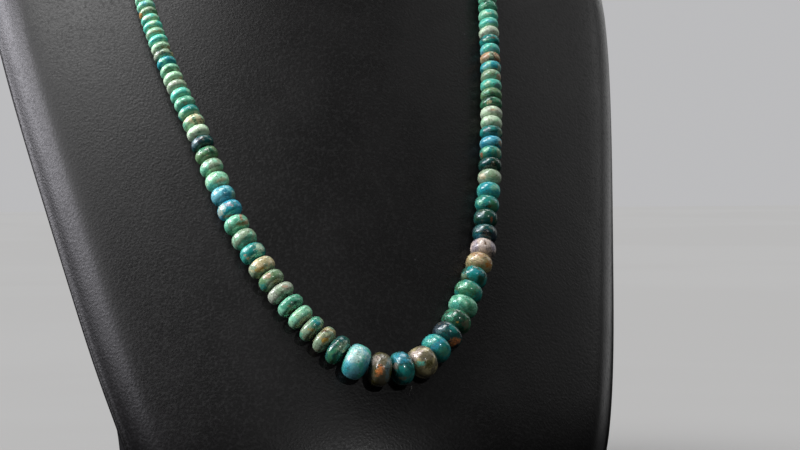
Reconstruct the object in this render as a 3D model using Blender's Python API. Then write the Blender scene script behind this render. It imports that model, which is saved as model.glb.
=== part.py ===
"""A graduated string of stone beads on the neck bust that holds it.

Metres, +Z up. The bust faces -Y, its midline is x = 0, and the origin lies on the floor under the
middle of its base. The string goes down one side of the chest, round its lowest bead and up the
other side, over both shoulders and round the back of the neck, where the clasp closes it.
"""

import math
from collections import namedtuple

import bmesh
import bpy
from mathutils import Matrix, Vector
from mathutils.bvhtree import BVHTree

# The neck bust
BUST_HEIGHT = 0.290
SHOULDER_WIDTH = 0.230
BACK_WIDTH = 0.170
BUST_DEPTH = 0.177
CHEST_LEAN = math.radians(28)
CHEST_FOOT = 0.035
CHEST_KNEE = 0.012
CHEST_BOW = 0.022
FRONT_ROLL = 0.013
BACK_ROLL = 0.010
NECK_WIDTH = 0.094
NECK_DEPTH = 0.068
NECK_SETBACK = 0.012
NECK_RIM_ROLL = 0.004

# The beads, their thread and the clasp
LARGEST_DIAMETER = 0.0114
LARGEST_THICKNESS = 0.0080
BEAD_SIDES = 10
MAIN_BEADS_LEFT = 20
MAIN_BEADS_RIGHT = 19
BEAD_SPACING = 0.00045
THREAD_DIAMETER = 0.0009
THREAD_CLEARANCE = 0.00035
SEAT_CLEARANCE = 0.0003
SEATING_ROUNDS = 6
FIRST_STRIDE = 0.02
STRIDE_HALVINGS = 12
KNOT_SHARE = 0.42
CLASP_LENGTH = 0.0120
CLASP_DIAMETER = 0.0052

# Each section of the bust: its height as a share of the bust's height, its half width as a share of
# the shoulders', and how far its outline has turned from the chest's into the neck's.
BustRow = namedtuple("BustRow", "height half_width neck")
BUST_ROWS = (
    BustRow(0.000, 0.680, 0.00),
    BustRow(0.075, 0.684, 0.00),
    BustRow(0.120, 0.710, 0.00),
    BustRow(0.165, 0.742, 0.00),
    BustRow(0.228, 0.786, 0.00),
    BustRow(0.314, 0.836, 0.00),
    BustRow(0.400, 0.884, 0.00),
    BustRow(0.483, 0.929, 0.00),
    BustRow(0.569, 0.972, 0.00),
    BustRow(0.628, 0.994, 0.00),
    BustRow(0.669, 1.000, 0.00),
    BustRow(0.700, 0.980, 0.00),
    BustRow(0.724, 0.925, 0.00),
    BustRow(0.745, 0.830, 0.04),
    BustRow(0.766, 0.710, 0.18),
    BustRow(0.790, 0.590, 0.46),
    BustRow(0.817, 0.500, 0.78),
    BustRow(0.852, 0.450, 0.96),
    BustRow(0.900, 0.430, 1.00),
    BustRow(1.000, 0.430, 1.00),
)

# The steps that round the rim of the neck: inwards and up, as shares of the rim's roll.
RIM_STEPS = ((0.13, 0.50), (0.37, 0.37), (0.50, 0.13))

# The route of the string on the bust, from the lowest bead outwards on each side. The chest's points
# are seen from the front, as shares of half the shoulders' width and of the bust's height.
ChestPoint = namedtuple("ChestPoint", "across height")
LOWEST_POINT = ChestPoint(-0.048, 0.2155)
CHEST_LEFT = (
    ChestPoint(-0.112, 0.2240),
    ChestPoint(-0.187, 0.2490),
    ChestPoint(-0.245, 0.2735),
    ChestPoint(-0.309, 0.3135),
    ChestPoint(-0.371, 0.3600),
    ChestPoint(-0.424, 0.4210),
    ChestPoint(-0.464, 0.4800),
    ChestPoint(-0.503, 0.5275),
    ChestPoint(-0.538, 0.5740),
    ChestPoint(-0.571, 0.6310),
    ChestPoint(-0.588, 0.6800),
    ChestPoint(-0.582, 0.7200),
)
CHEST_RIGHT = (
    ChestPoint(0.011, 0.2160),
    ChestPoint(0.076, 0.2220),
    ChestPoint(0.125, 0.2360),
    ChestPoint(0.198, 0.2640),
    ChestPoint(0.264, 0.3030),
    ChestPoint(0.324, 0.3440),
    ChestPoint(0.351, 0.3785),
    ChestPoint(0.387, 0.4230),
    ChestPoint(0.423, 0.4790),
    ChestPoint(0.462, 0.5560),
    ChestPoint(0.495, 0.6380),
    ChestPoint(0.517, 0.6850),
    ChestPoint(0.532, 0.7220),
)
# The shoulder's points are seen from above, as shares of half the shoulders' width and of half the
# bust's depth, and the nape's from behind, as the chest's are.
ShoulderPoint = namedtuple("ShoulderPoint", "across back")
SHOULDER = (
    ShoulderPoint(0.553, 0.25),
    ShoulderPoint(0.525, 0.43),
    ShoulderPoint(0.467, 0.61),
)
NAPE = (
    ChestPoint(0.290, 0.812),
    ChestPoint(0.120, 0.806),
    ChestPoint(0.000, 0.804),
)

# The beads' graduation: how many beads out from the lowest one, and diameter and thickness as shares
# of the largest, on the two sides of the string. Beads between two rows are graded between them.
Grade = namedtuple("Grade", "beads_out left_diameter left_thickness right_diameter right_thickness")
GRADES = (
    Grade(0, 0.98, 0.86, 0.98, 0.86),
    Grade(1, 1.00, 1.00, 0.93, 0.84),
    Grade(2, 0.87, 0.66, 0.93, 0.98),
    Grade(3, 0.80, 0.62, 0.87, 0.78),
    Grade(6, 0.79, 0.58, 0.84, 0.72),
    Grade(10, 0.76, 0.66, 0.75, 0.70),
    Grade(15, 0.69, 0.64, 0.70, 0.60),
    Grade(17, 0.67, 0.51, 0.68, 0.49),
    Grade(20, 0.65, 0.44, 0.67, 0.43),
    Grade(24, 0.61, 0.36, 0.65, 0.41),
    Grade(29, 0.59, 0.31, 0.63, 0.40),
    Grade(36, 0.57, 0.28, 0.59, 0.38),
    Grade(42, 0.55, 0.37, 0.55, 0.37),
    Grade(75, 0.48, 0.36, 0.48, 0.36),
)

# Half of a bead's turned outline, from its bore to its widest line: shares of radius and thickness.
OutlinePoint = namedtuple("OutlinePoint", "radius thickness")
BEAD_OUTLINE = (
    OutlinePoint(0.70, 0.43),
    OutlinePoint(1.00, 0.16),
)

Bead = namedtuple("Bead", "centre outward radius thickness")
STONE_COLOURS = {
    "sea_green": (0.055, 0.250, 0.190),
    "teal": (0.030, 0.170, 0.180),
    "sky_blue": (0.090, 0.420, 0.520),
    "pale_mint": (0.300, 0.480, 0.370),
    "olive": (0.200, 0.210, 0.110),
    "deep_green": (0.025, 0.090, 0.080),
}


def clear_scene():
    """Removes whatever the scene holds."""
    for thing in list(bpy.data.objects):
        bpy.data.objects.remove(thing, do_unlink=True)


def finish_material(name, colour, roughness, metallic=0.0):
    """A plain Principled material."""
    material = bpy.data.materials.new(name)
    material.use_nodes = True
    shader = material.node_tree.nodes["Principled BSDF"]
    shader.inputs["Base Color"].default_value = (*colour, 1.0)
    shader.inputs["Roughness"].default_value = roughness
    shader.inputs["Metallic"].default_value = metallic
    return material


def add_object(name, data, material):
    """Links a named object that carries its own material."""
    data.materials.append(material)
    thing = bpy.data.objects.new(name, data)
    bpy.context.scene.collection.objects.link(thing)
    return thing


def mesh_from(bm, name):
    """Closes a bmesh into a smooth-shaded mesh whose faces point outwards."""
    bmesh.ops.recalc_face_normals(bm, faces=bm.faces)
    mesh = bpy.data.meshes.new(name)
    bm.to_mesh(mesh)
    bm.free()
    mesh.shade_smooth()
    mesh.set_sharp_from_angle(angle=math.radians(40))
    return mesh


def chest_front(height):
    """Depth of the chest's midline: upright at the foot, leaning back above it, with a soft knee."""
    rise = height - CHEST_FOOT
    if rise <= -CHEST_KNEE:
        leaning = 0.0
    elif rise < CHEST_KNEE:
        leaning = (rise + CHEST_KNEE) ** 2 / (4 * CHEST_KNEE)
    else:
        leaning = rise
    return -BUST_DEPTH / 2 + leaning * math.tan(CHEST_LEAN)


def rolled_corner(before, corner, after, radius, steps):
    """Points of the arc that rounds a corner between two straight runs."""
    into = (before - corner).normalized()
    out = (after - corner).normalized()
    half_angle = into.angle(out) / 2
    centre = corner + (into + out).normalized() * (radius / math.sin(half_angle))
    first = (corner + into * (radius / math.tan(half_angle)) - centre).normalized()
    last = (corner + out * (radius / math.tan(half_angle)) - centre).normalized()
    return [centre + first.slerp(last, step / steps) * radius for step in range(steps + 1)]


def neck_middle():
    """Depth of the neck's axis."""
    return BUST_DEPTH / 2 - NECK_SETBACK - NECK_DEPTH / 2


def chest_outline(height, half_width):
    """Half of the chest's outline at a height, from the midline of the front to that of the back."""
    front = min(chest_front(height), neck_middle())
    back = BUST_DEPTH / 2
    middle_front = Vector((0, front))
    front_corner = Vector((half_width, front))
    back_corner = Vector((half_width * BACK_WIDTH / SHOULDER_WIDTH, back))
    middle_back = Vector((0, back))
    front_roll = min(FRONT_ROLL, half_width / 3)
    rolled_front = rolled_corner(middle_front, front_corner, back_corner, front_roll, 4)
    rolled_back = rolled_corner(front_corner, back_corner, middle_back, BACK_ROLL, 2)
    outline = [middle_front.lerp(rolled_front[0], step / 5) for step in range(5)]
    outline += rolled_front
    outline.append(rolled_front[-1].lerp(rolled_back[0], 0.5))
    outline += rolled_back
    outline.append(rolled_back[-1].lerp(middle_back, 0.5))
    outline.append(middle_back)
    widest = max(point.x for point in outline)
    bowed = []
    for point in outline:
        share = point.x / widest
        fade = (back - point.y) / (back - front)
        bowed.append(Vector((share * half_width, point.y + CHEST_BOW * share ** 2 * fade)))
    return bowed


def neck_outline(outline):
    """The neck's half ellipse, with its points in the same directions as those of a chest outline."""
    front, back = outline[0].y, outline[-1].y
    middle = (front + back) / 2
    widest = max(point.x for point in outline)
    ellipse = []
    for point in outline:
        turn = math.atan2((point.y - middle) / (back - front), point.x / (2 * widest))
        across = math.cos(turn) * NECK_WIDTH / 2
        ellipse.append(Vector((across, neck_middle() + math.sin(turn) * NECK_DEPTH / 2)))
    return ellipse


def bust_section(row):
    """The whole outline of one section of the bust, as points in order round it."""
    height = min(row.height * BUST_HEIGHT, BUST_HEIGHT - NECK_RIM_ROLL)
    chest = chest_outline(height, row.half_width * SHOULDER_WIDTH / 2)
    neck = neck_outline(chest)
    half = [a.lerp(b, row.neck) for a, b in zip(chest, neck)]
    mirrored = [Vector((-point.x, point.y)) for point in reversed(half[1:-1])]
    return [Vector((point.x, point.y, height)) for point in half + mirrored]


def build_bust():
    """Lofts the bust through its sections and rolls the rim of its neck."""
    bm = bmesh.new()
    rings = [[bm.verts.new(point) for point in bust_section(row)] for row in BUST_ROWS]
    for lower, upper in zip(rings, rings[1:]):
        for index, corner in enumerate(lower):
            after = (index + 1) % len(lower)
            bm.faces.new((corner, lower[after], upper[after], upper[index]))
    bm.faces.new(reversed(rings[0]))
    top = bm.faces.new(rings[-1])
    bm.normal_update()
    for inward, up in RIM_STEPS:
        bmesh.ops.inset_region(bm, faces=[top], thickness=inward * NECK_RIM_ROLL, depth=up * NECK_RIM_ROLL)
    bmesh.ops.triangulate(bm, faces=bm.faces)
    bmesh.ops.recalc_face_normals(bm, faces=bm.faces)
    surface = BVHTree.FromBMesh(bm)
    leatherette = finish_material("leatherette", (0.022, 0.022, 0.026), 0.48)
    add_object("neck_bust", mesh_from(bm, "neck_bust"), leatherette)
    return surface


def graded(beads_out, side):
    """Radius and thickness of the bead that lies so many beads out on a side (-1 left, 1 right)."""
    inner, outer = GRADES[-2:]
    for here, beyond in zip(GRADES, GRADES[1:]):
        if here.beads_out <= beads_out <= beyond.beads_out:
            inner, outer = here, beyond
            break
    share = min((beads_out - inner.beads_out) / (outer.beads_out - inner.beads_out), 1.0)
    if side < 0:
        diameter = inner.left_diameter + (outer.left_diameter - inner.left_diameter) * share
        thickness = inner.left_thickness + (outer.left_thickness - inner.left_thickness) * share
    else:
        diameter = inner.right_diameter + (outer.right_diameter - inner.right_diameter) * share
        thickness = inner.right_thickness + (outer.right_thickness - inner.right_thickness) * share
    return diameter * LARGEST_DIAMETER / 2, thickness * LARGEST_THICKNESS


def touch_points(surface):
    """Where the string's route meets the bust, from the clasp down the left side, up the right and back."""
    half_width = SHOULDER_WIDTH / 2
    far = BUST_HEIGHT + BUST_DEPTH

    def seen(origin, direction):
        spot, normal, _, _ = surface.ray_cast(origin, direction)
        return spot, normal

    def from_front(point):
        origin = Vector((point.across * half_width, -far, point.height * BUST_HEIGHT))
        return seen(origin, Vector((0, 1, 0)))

    def from_above(point, side):
        origin = Vector((side * point.across * half_width, point.back * BUST_DEPTH / 2, far))
        return seen(origin, Vector((0, 0, -1)))

    def from_behind(point, side):
        origin = Vector((side * point.across * half_width, far, point.height * BUST_HEIGHT))
        return seen(origin, Vector((0, -1, 0)))

    left = [from_front(point) for point in CHEST_LEFT]
    left += [from_above(point, -1) for point in SHOULDER]
    left += [from_behind(point, -1) for point in NAPE]
    right = [from_front(point) for point in CHEST_RIGHT]
    right += [from_above(point, 1) for point in SHOULDER]
    right += [from_behind(point, 1) for point in NAPE[:-1]]
    return list(reversed(left)) + [from_front(LOWEST_POINT)] + right


class Route:
    """A smooth closed way round the bust, on which beads are set down one after another."""

    def __init__(self, surface, touches):
        self.surface = surface
        self.touches = touches

    def touch(self, way):
        """Where the way meets the bust, and the direction out of it, some touch points along."""
        count = len(self.touches)
        index = math.floor(way)
        share = way - index
        spots = [self.touches[(index + step) % count][0] for step in (-1, 0, 1, 2)]
        before, here, there, after = spots
        turn_in = (there - before) / 2
        turn_out = (after - here) / 2
        ease = 3 * share ** 2 - 2 * share ** 3
        spot = here.lerp(there, ease)
        spot += turn_in * (share ** 3 - 2 * share ** 2 + share)
        spot += turn_out * (share ** 3 - share ** 2)
        outward = self.touches[index % count][1].lerp(self.touches[(index + 1) % count][1], share)
        return spot, outward.normalized()

    def lifted(self, way, radius):
        """Centre of a round thing of this radius that lies on the bust, and the direction out of it."""
        spot, outward = self.touch(way)
        reach = radius + SEAT_CLEARANCE
        centre = spot + outward * reach
        for _ in range(SEATING_ROUNDS):
            below, _, _, distance = self.surface.find_nearest(centre)
            outward = (centre - below).normalized()
            centre = centre + outward * (reach - distance)
        return centre, outward

    def step_from(self, centre, way, radius, distance, side):
        """The next way along a side whose lifted centre lies this far from a centre."""
        stride = FIRST_STRIDE
        reached = way
        while (self.lifted(reached, radius)[0] - centre).length < distance:
            reached += side * stride
        for _ in range(STRIDE_HALVINGS):
            stride /= 2
            apart = (self.lifted(reached, radius)[0] - centre).length
            reached += side * (stride if apart < distance else -stride)
        return reached


def string_side(route, first, lowest_way, clasp_way, side):
    """The beads of one side, from the one beside the lowest bead to the last before the clasp."""
    clasp_centre = route.lifted(clasp_way, CLASP_DIAMETER / 2)[0]
    beads = []
    last = first
    way = lowest_way
    while True:
        radius, thickness = graded(len(beads) + 1, side)
        pitch = (last.thickness + thickness) / 2 + BEAD_SPACING
        way = route.step_from(last.centre, way, radius, pitch, side)
        centre, outward = route.lifted(way, radius)
        clasp_room = (CLASP_LENGTH + thickness) / 2 + SEAT_CLEARANCE
        on_nape = abs(way - clasp_way) < len(NAPE)
        if on_nape and (centre - clasp_centre).length < clasp_room:
            return beads
        last = Bead(centre, outward, radius, thickness)
        beads.append(last)


def frame_at(place, along, outward):
    """A frame whose Z runs along the string and whose X points away from the bust."""
    z_axis = along.normalized()
    x_axis = (outward - z_axis * outward.dot(z_axis)).normalized()
    y_axis = z_axis.cross(x_axis)
    turn = Matrix((x_axis, y_axis, z_axis)).transposed()
    return Matrix.Translation(place) @ turn.to_4x4()


def bead_mesh(name, radius, thickness):
    """A drilled bead, turned round Z."""
    bore = THREAD_DIAMETER / 2 + THREAD_CLEARANCE
    half = [(bore, thickness / 2)]
    half += [(point.radius * radius, point.thickness * thickness) for point in BEAD_OUTLINE]
    profile = half + [(across, -along) for across, along in reversed(half)]
    bm = bmesh.new()
    corners = [bm.verts.new((across, 0, along)) for across, along in profile]
    edges = [bm.edges.new(pair) for pair in zip(corners, corners[1:] + corners[:1])]
    bmesh.ops.spin(bm, geom=corners + edges, cent=(0, 0, 0), axis=(0, 0, 1), dvec=(0, 0, 0),
                   angle=math.tau, steps=BEAD_SIDES, use_merge=True)
    bmesh.ops.remove_doubles(bm, verts=bm.verts, dist=1e-6)
    return mesh_from(bm, name)


def add_main_beads(beads, colours):
    """Each main bead is an object of its own, standing on its own axis."""
    for number, bead in enumerate(beads[1:-1], start=1):
        before, after = beads[number - 1], beads[number + 1]
        name = f"bead_{number:02d}"
        colour = colours[number % len(colours)]
        stone = finish_material(f"stone_{number:02d}", STONE_COLOURS[colour], 0.16)
        thing = add_object(name, bead_mesh(name, bead.radius, bead.thickness), stone)
        thing.matrix_world = frame_at(bead.centre, after.centre - before.centre, bead.outward)


def add_run(name, beads, start, end, stone):
    """A run of beads as one body: a tube along the string that swells at each bead."""
    bm = bmesh.new()
    places = [start] + [bead.centre for bead in beads] + [end]
    stations = [(start, beads[0].centre - start, beads[0].outward, beads[0].radius * KNOT_SHARE)]
    for index, bead in enumerate(beads):
        along = (places[index + 2] - places[index]).normalized()
        shoulder = along * bead.thickness * BEAD_OUTLINE[-1].thickness
        stations.append((bead.centre - shoulder, along, bead.outward, bead.radius))
        stations.append((bead.centre + shoulder, along, bead.outward, bead.radius))
        if index + 1 < len(beads):
            after = beads[index + 1]
            middle = (bead.centre + after.centre) / 2
            knot = KNOT_SHARE * min(bead.radius, after.radius)
            stations.append((middle, after.centre - bead.centre, bead.outward + after.outward, knot))
    last = beads[-1]
    knot = last.radius * KNOT_SHARE
    face = last.centre + (end - last.centre).normalized() * last.thickness / 2
    if (end - face).length > SEAT_CLEARANCE:
        stations.append((face, end - last.centre, last.outward, knot))
    stations.append((end, end - last.centre, last.outward, knot))
    rings = []
    for place, along, outward, radius in stations:
        frame = frame_at(place, along, outward)
        angles = [math.tau * side / BEAD_SIDES for side in range(BEAD_SIDES)]
        ring = [frame @ Vector((radius * math.cos(turn), radius * math.sin(turn), 0)) for turn in angles]
        rings.append([bm.verts.new(point) for point in ring])
    for ring, after in zip(rings, rings[1:]):
        for index in range(BEAD_SIDES):
            beside = (index + 1) % BEAD_SIDES
            bm.faces.new((ring[index], ring[beside], after[beside], after[index]))
    bm.faces.new(reversed(rings[0]))
    bm.faces.new(rings[-1])
    add_object(name, mesh_from(bm, name), stone)


def add_thread(beads):
    """The thread: straight through each bore, and ending close to the runs' end faces."""
    points = [end_of_run(beads[0], beads[1], SEAT_CLEARANCE)]
    for before, bead, after in zip(beads, beads[1:], beads[2:]):
        half_bore = (after.centre - before.centre).normalized() * bead.thickness / 2
        points += [bead.centre - half_bore, bead.centre + half_bore]
    points.append(end_of_run(beads[-1], beads[-2], SEAT_CLEARANCE))
    curve = bpy.data.curves.new("thread", "CURVE")
    curve.dimensions = "3D"
    curve.bevel_depth = THREAD_DIAMETER / 2
    curve.bevel_resolution = 1
    curve.use_fill_caps = True
    spline = curve.splines.new("POLY")
    spline.points.add(len(points) - 1)
    for point, place in zip(spline.points, points):
        point.co = (*place, 1.0)
    add_object("thread", curve, finish_material("waxed_thread", (0.020, 0.022, 0.022), 0.7))


def end_of_run(bead, inner, clearance):
    """The middle of a bead's face towards the next one in, with a clearance beyond it."""
    return bead.centre + (inner.centre - bead.centre).normalized() * (bead.thickness / 2 + clearance)


def add_clasp(centre, along, outward):
    """A plain turned barrel with stepped, rounded ends."""
    radius = CLASP_DIAMETER / 2
    half = CLASP_LENGTH / 2
    half_profile = [(0, half), (0.45 * radius, half), (0.60 * radius, 0.90 * half)]
    half_profile += [(0.88 * radius, 0.72 * half), (radius, 0.40 * half)]
    profile = half_profile + [(across, -up) for across, up in reversed(half_profile)]
    bm = bmesh.new()
    corners = [bm.verts.new((across, 0, up)) for across, up in profile]
    edges = [bm.edges.new(pair) for pair in zip(corners, corners[1:])]
    bmesh.ops.spin(bm, geom=corners + edges, cent=(0, 0, 0), axis=(0, 0, 1), dvec=(0, 0, 0),
                   angle=math.tau, steps=BEAD_SIDES, use_merge=True)
    bmesh.ops.remove_doubles(bm, verts=bm.verts, dist=1e-6)
    metal = finish_material("clasp_silver", (0.62, 0.61, 0.58), 0.28, metallic=1.0)
    clasp = add_object("clasp", mesh_from(bm, "clasp"), metal)
    clasp.matrix_world = frame_at(centre, along, outward)


def build_string(surface):
    """Sets the whole string down on the bust and makes its beads, thread, runs and clasp."""
    touches = touch_points(surface)
    route = Route(surface, touches)
    lowest_way = len(NAPE) + len(SHOULDER) + len(CHEST_LEFT)
    radius, thickness = graded(0, -1)
    centre, outward = route.lifted(lowest_way, radius)
    lowest = Bead(centre, outward, radius, thickness)
    left = string_side(route, lowest, lowest_way, 0, -1)
    right = string_side(route, lowest, lowest_way, len(touches), 1)

    main = list(reversed(left[:MAIN_BEADS_LEFT + 1])) + [lowest] + right[:MAIN_BEADS_RIGHT + 1]
    add_main_beads(main, list(STONE_COLOURS))
    add_thread(main)

    clasp_centre, clasp_outward = route.lifted(0, CLASP_DIAMETER / 2)
    along = (right[-1].centre - left[-1].centre).normalized()
    add_clasp(clasp_centre, along, clasp_outward)
    clasp_reach = CLASP_LENGTH / 2 + SEAT_CLEARANCE
    left_run = left[MAIN_BEADS_LEFT:]
    right_run = right[MAIN_BEADS_RIGHT:]
    left_start = end_of_run(left_run[0], left[MAIN_BEADS_LEFT - 1], 0)
    right_start = end_of_run(right_run[0], right[MAIN_BEADS_RIGHT - 1], 0)
    left_stone = finish_material("stone_left", STONE_COLOURS["sea_green"], 0.16)
    right_stone = finish_material("stone_right", STONE_COLOURS["teal"], 0.16)
    add_run("string_left", left_run, left_start, clasp_centre - along * clasp_reach, left_stone)
    add_run("string_right", right_run, right_start, clasp_centre + along * clasp_reach, right_stone)


def main():
    """Builds the bust and the string on it."""
    clear_scene()
    surface = build_bust()
    build_string(surface)


if __name__ == "__main__":
    main()
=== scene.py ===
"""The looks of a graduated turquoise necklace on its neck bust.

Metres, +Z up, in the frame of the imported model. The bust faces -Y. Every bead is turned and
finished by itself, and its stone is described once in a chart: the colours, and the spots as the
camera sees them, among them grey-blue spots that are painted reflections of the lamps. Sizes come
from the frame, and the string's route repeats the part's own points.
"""

import logging
import math
import random
from dataclasses import dataclass, field
from enum import Enum

import bmesh
import bpy
from mathutils import Matrix, Vector, noise
from mathutils.bvhtree import BVHTree


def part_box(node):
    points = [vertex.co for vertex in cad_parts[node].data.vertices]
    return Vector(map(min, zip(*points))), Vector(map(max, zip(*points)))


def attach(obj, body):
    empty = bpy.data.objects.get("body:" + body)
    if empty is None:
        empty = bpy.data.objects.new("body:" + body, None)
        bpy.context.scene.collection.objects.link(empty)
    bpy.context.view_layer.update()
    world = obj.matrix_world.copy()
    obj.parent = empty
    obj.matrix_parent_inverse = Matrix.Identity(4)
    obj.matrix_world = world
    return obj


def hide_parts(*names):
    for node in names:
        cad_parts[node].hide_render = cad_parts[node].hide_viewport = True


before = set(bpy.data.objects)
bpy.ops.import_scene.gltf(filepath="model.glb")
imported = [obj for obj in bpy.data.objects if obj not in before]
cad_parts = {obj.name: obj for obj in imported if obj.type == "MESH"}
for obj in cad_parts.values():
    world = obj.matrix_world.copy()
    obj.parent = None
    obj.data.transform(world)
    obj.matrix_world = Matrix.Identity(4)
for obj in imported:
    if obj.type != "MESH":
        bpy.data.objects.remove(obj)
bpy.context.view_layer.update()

LOG = logging.getLogger("necklace")
BODY = "root"
MILLIMETRE = 0.001
WELD_DISTANCE = 1e-7
PLACE_LIMIT = 0.05 * MILLIMETRE
# The middle of a noise pattern's values.
NOISE_MIDDLE = 0.5
# The curve between a screen's colour values and linear light.
DARK_VALUES = 0.04045
DARK_SLOPE = 12.92
CURVE_SHIFT = 0.055
CURVE_POWER = 2.4
DAYLIGHT = (1.0, 0.98, 1.06)

Colour = tuple[float, float, float, float]
Edge = tuple[float, float]


def linear_light(value: float) -> float:
    """Turns a screen's colour value into linear light.

    Args:
        value: the screen's value, from 0 to 1.

    Returns:
        The share of light.
    """
    if value <= DARK_VALUES:
        return value / DARK_SLOPE
    return ((value + CURVE_SHIFT) / (1 + CURVE_SHIFT)) ** CURVE_POWER


class Tone(Enum):
    """Colours of the stone, as they look in soft daylight, and a grey-blue painted reflection."""

    ICE_BLUE = "B4DEDC"
    SKY_BLUE = "5FB0C2"
    CLEAR_BLUE = "3193B0"
    DEEP_BLUE = "1C6C84"
    NAVY = "1E303C"
    BLUE_TEAL = "218A97"
    TEAL = "1B7F7C"
    DARK_TEAL = "0F4A4A"
    AQUA = "49B5A6"
    SEAFOAM = "76C0A4"
    MINT = "8CC3A2"
    PALE_MINT = "B4D6BE"
    SEA_GREEN = "44937A"
    GREEN = "35785A"
    DARK_GREEN = "1B4638"
    LEAF = "5C8762"
    SAGE = "7C9C84"
    GREY_SAGE = "98AC9E"
    CREAM = "BDBB98"
    STRAW = "999872"
    OLIVE = "6E6E40"
    DARK_OLIVE = "45461F"
    GOLD = "A88E3C"
    AMBER = "AA722C"
    ORANGE = "C47E48"
    RUST = "925536"
    BROWN = "553E28"
    TAN = "A08A6C"
    PINK = "A8907F"
    LILAC = "8C8B98"
    PEARL = "B8B3AE"
    # Not the stone's colour: a painted reflection of the lamps, laid as a spot on dark beads.
    PAINTED_REFLECTION = "54767E"
    SMOKE = "5E5F4E"
    DEEP_GREEN = "10382F"
    BLACK = "0B0D0E"

    @property
    def linear(self) -> tuple[float, float, float]:
        """The colour in linear light."""
        channels = (self.value[start:start + 2] for start in (0, 2, 4))
        return tuple(linear_light(int(channel, 16) / 255) for channel in channels)


@dataclass(frozen=True)
class Patch:
    """A spot of another colour or a painted reflection on a stone, placed as the camera sees the bead.

    Across and up are in bead radii from the bead's middle, long and wide are half its sizes in
    radii, and turn is the slope of its long side in degrees.
    """

    tone: Tone
    across: float
    up: float
    long: float
    wide: float
    turn: float = 0.0


@dataclass(frozen=True)
class Stone:
    """One bead's stone: two colours that cloud into each other, dark veins and up to three spots."""

    body: Tone
    clouds: Tone
    veins: float = 0.3
    patches: tuple[Patch, ...] = ()


T = Tone
SPOTS = 3
# What a bead's field holds far from a spot, and a spot too small to show.
NO_FIELD = -3.0
NO_PATCH = Patch(T.SAGE, 0.0, 0.0, 0.01, 0.01)

# The lowest bead's place among the stones that the camera sees.
MIDDLE_OF_CHART = 36
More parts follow.
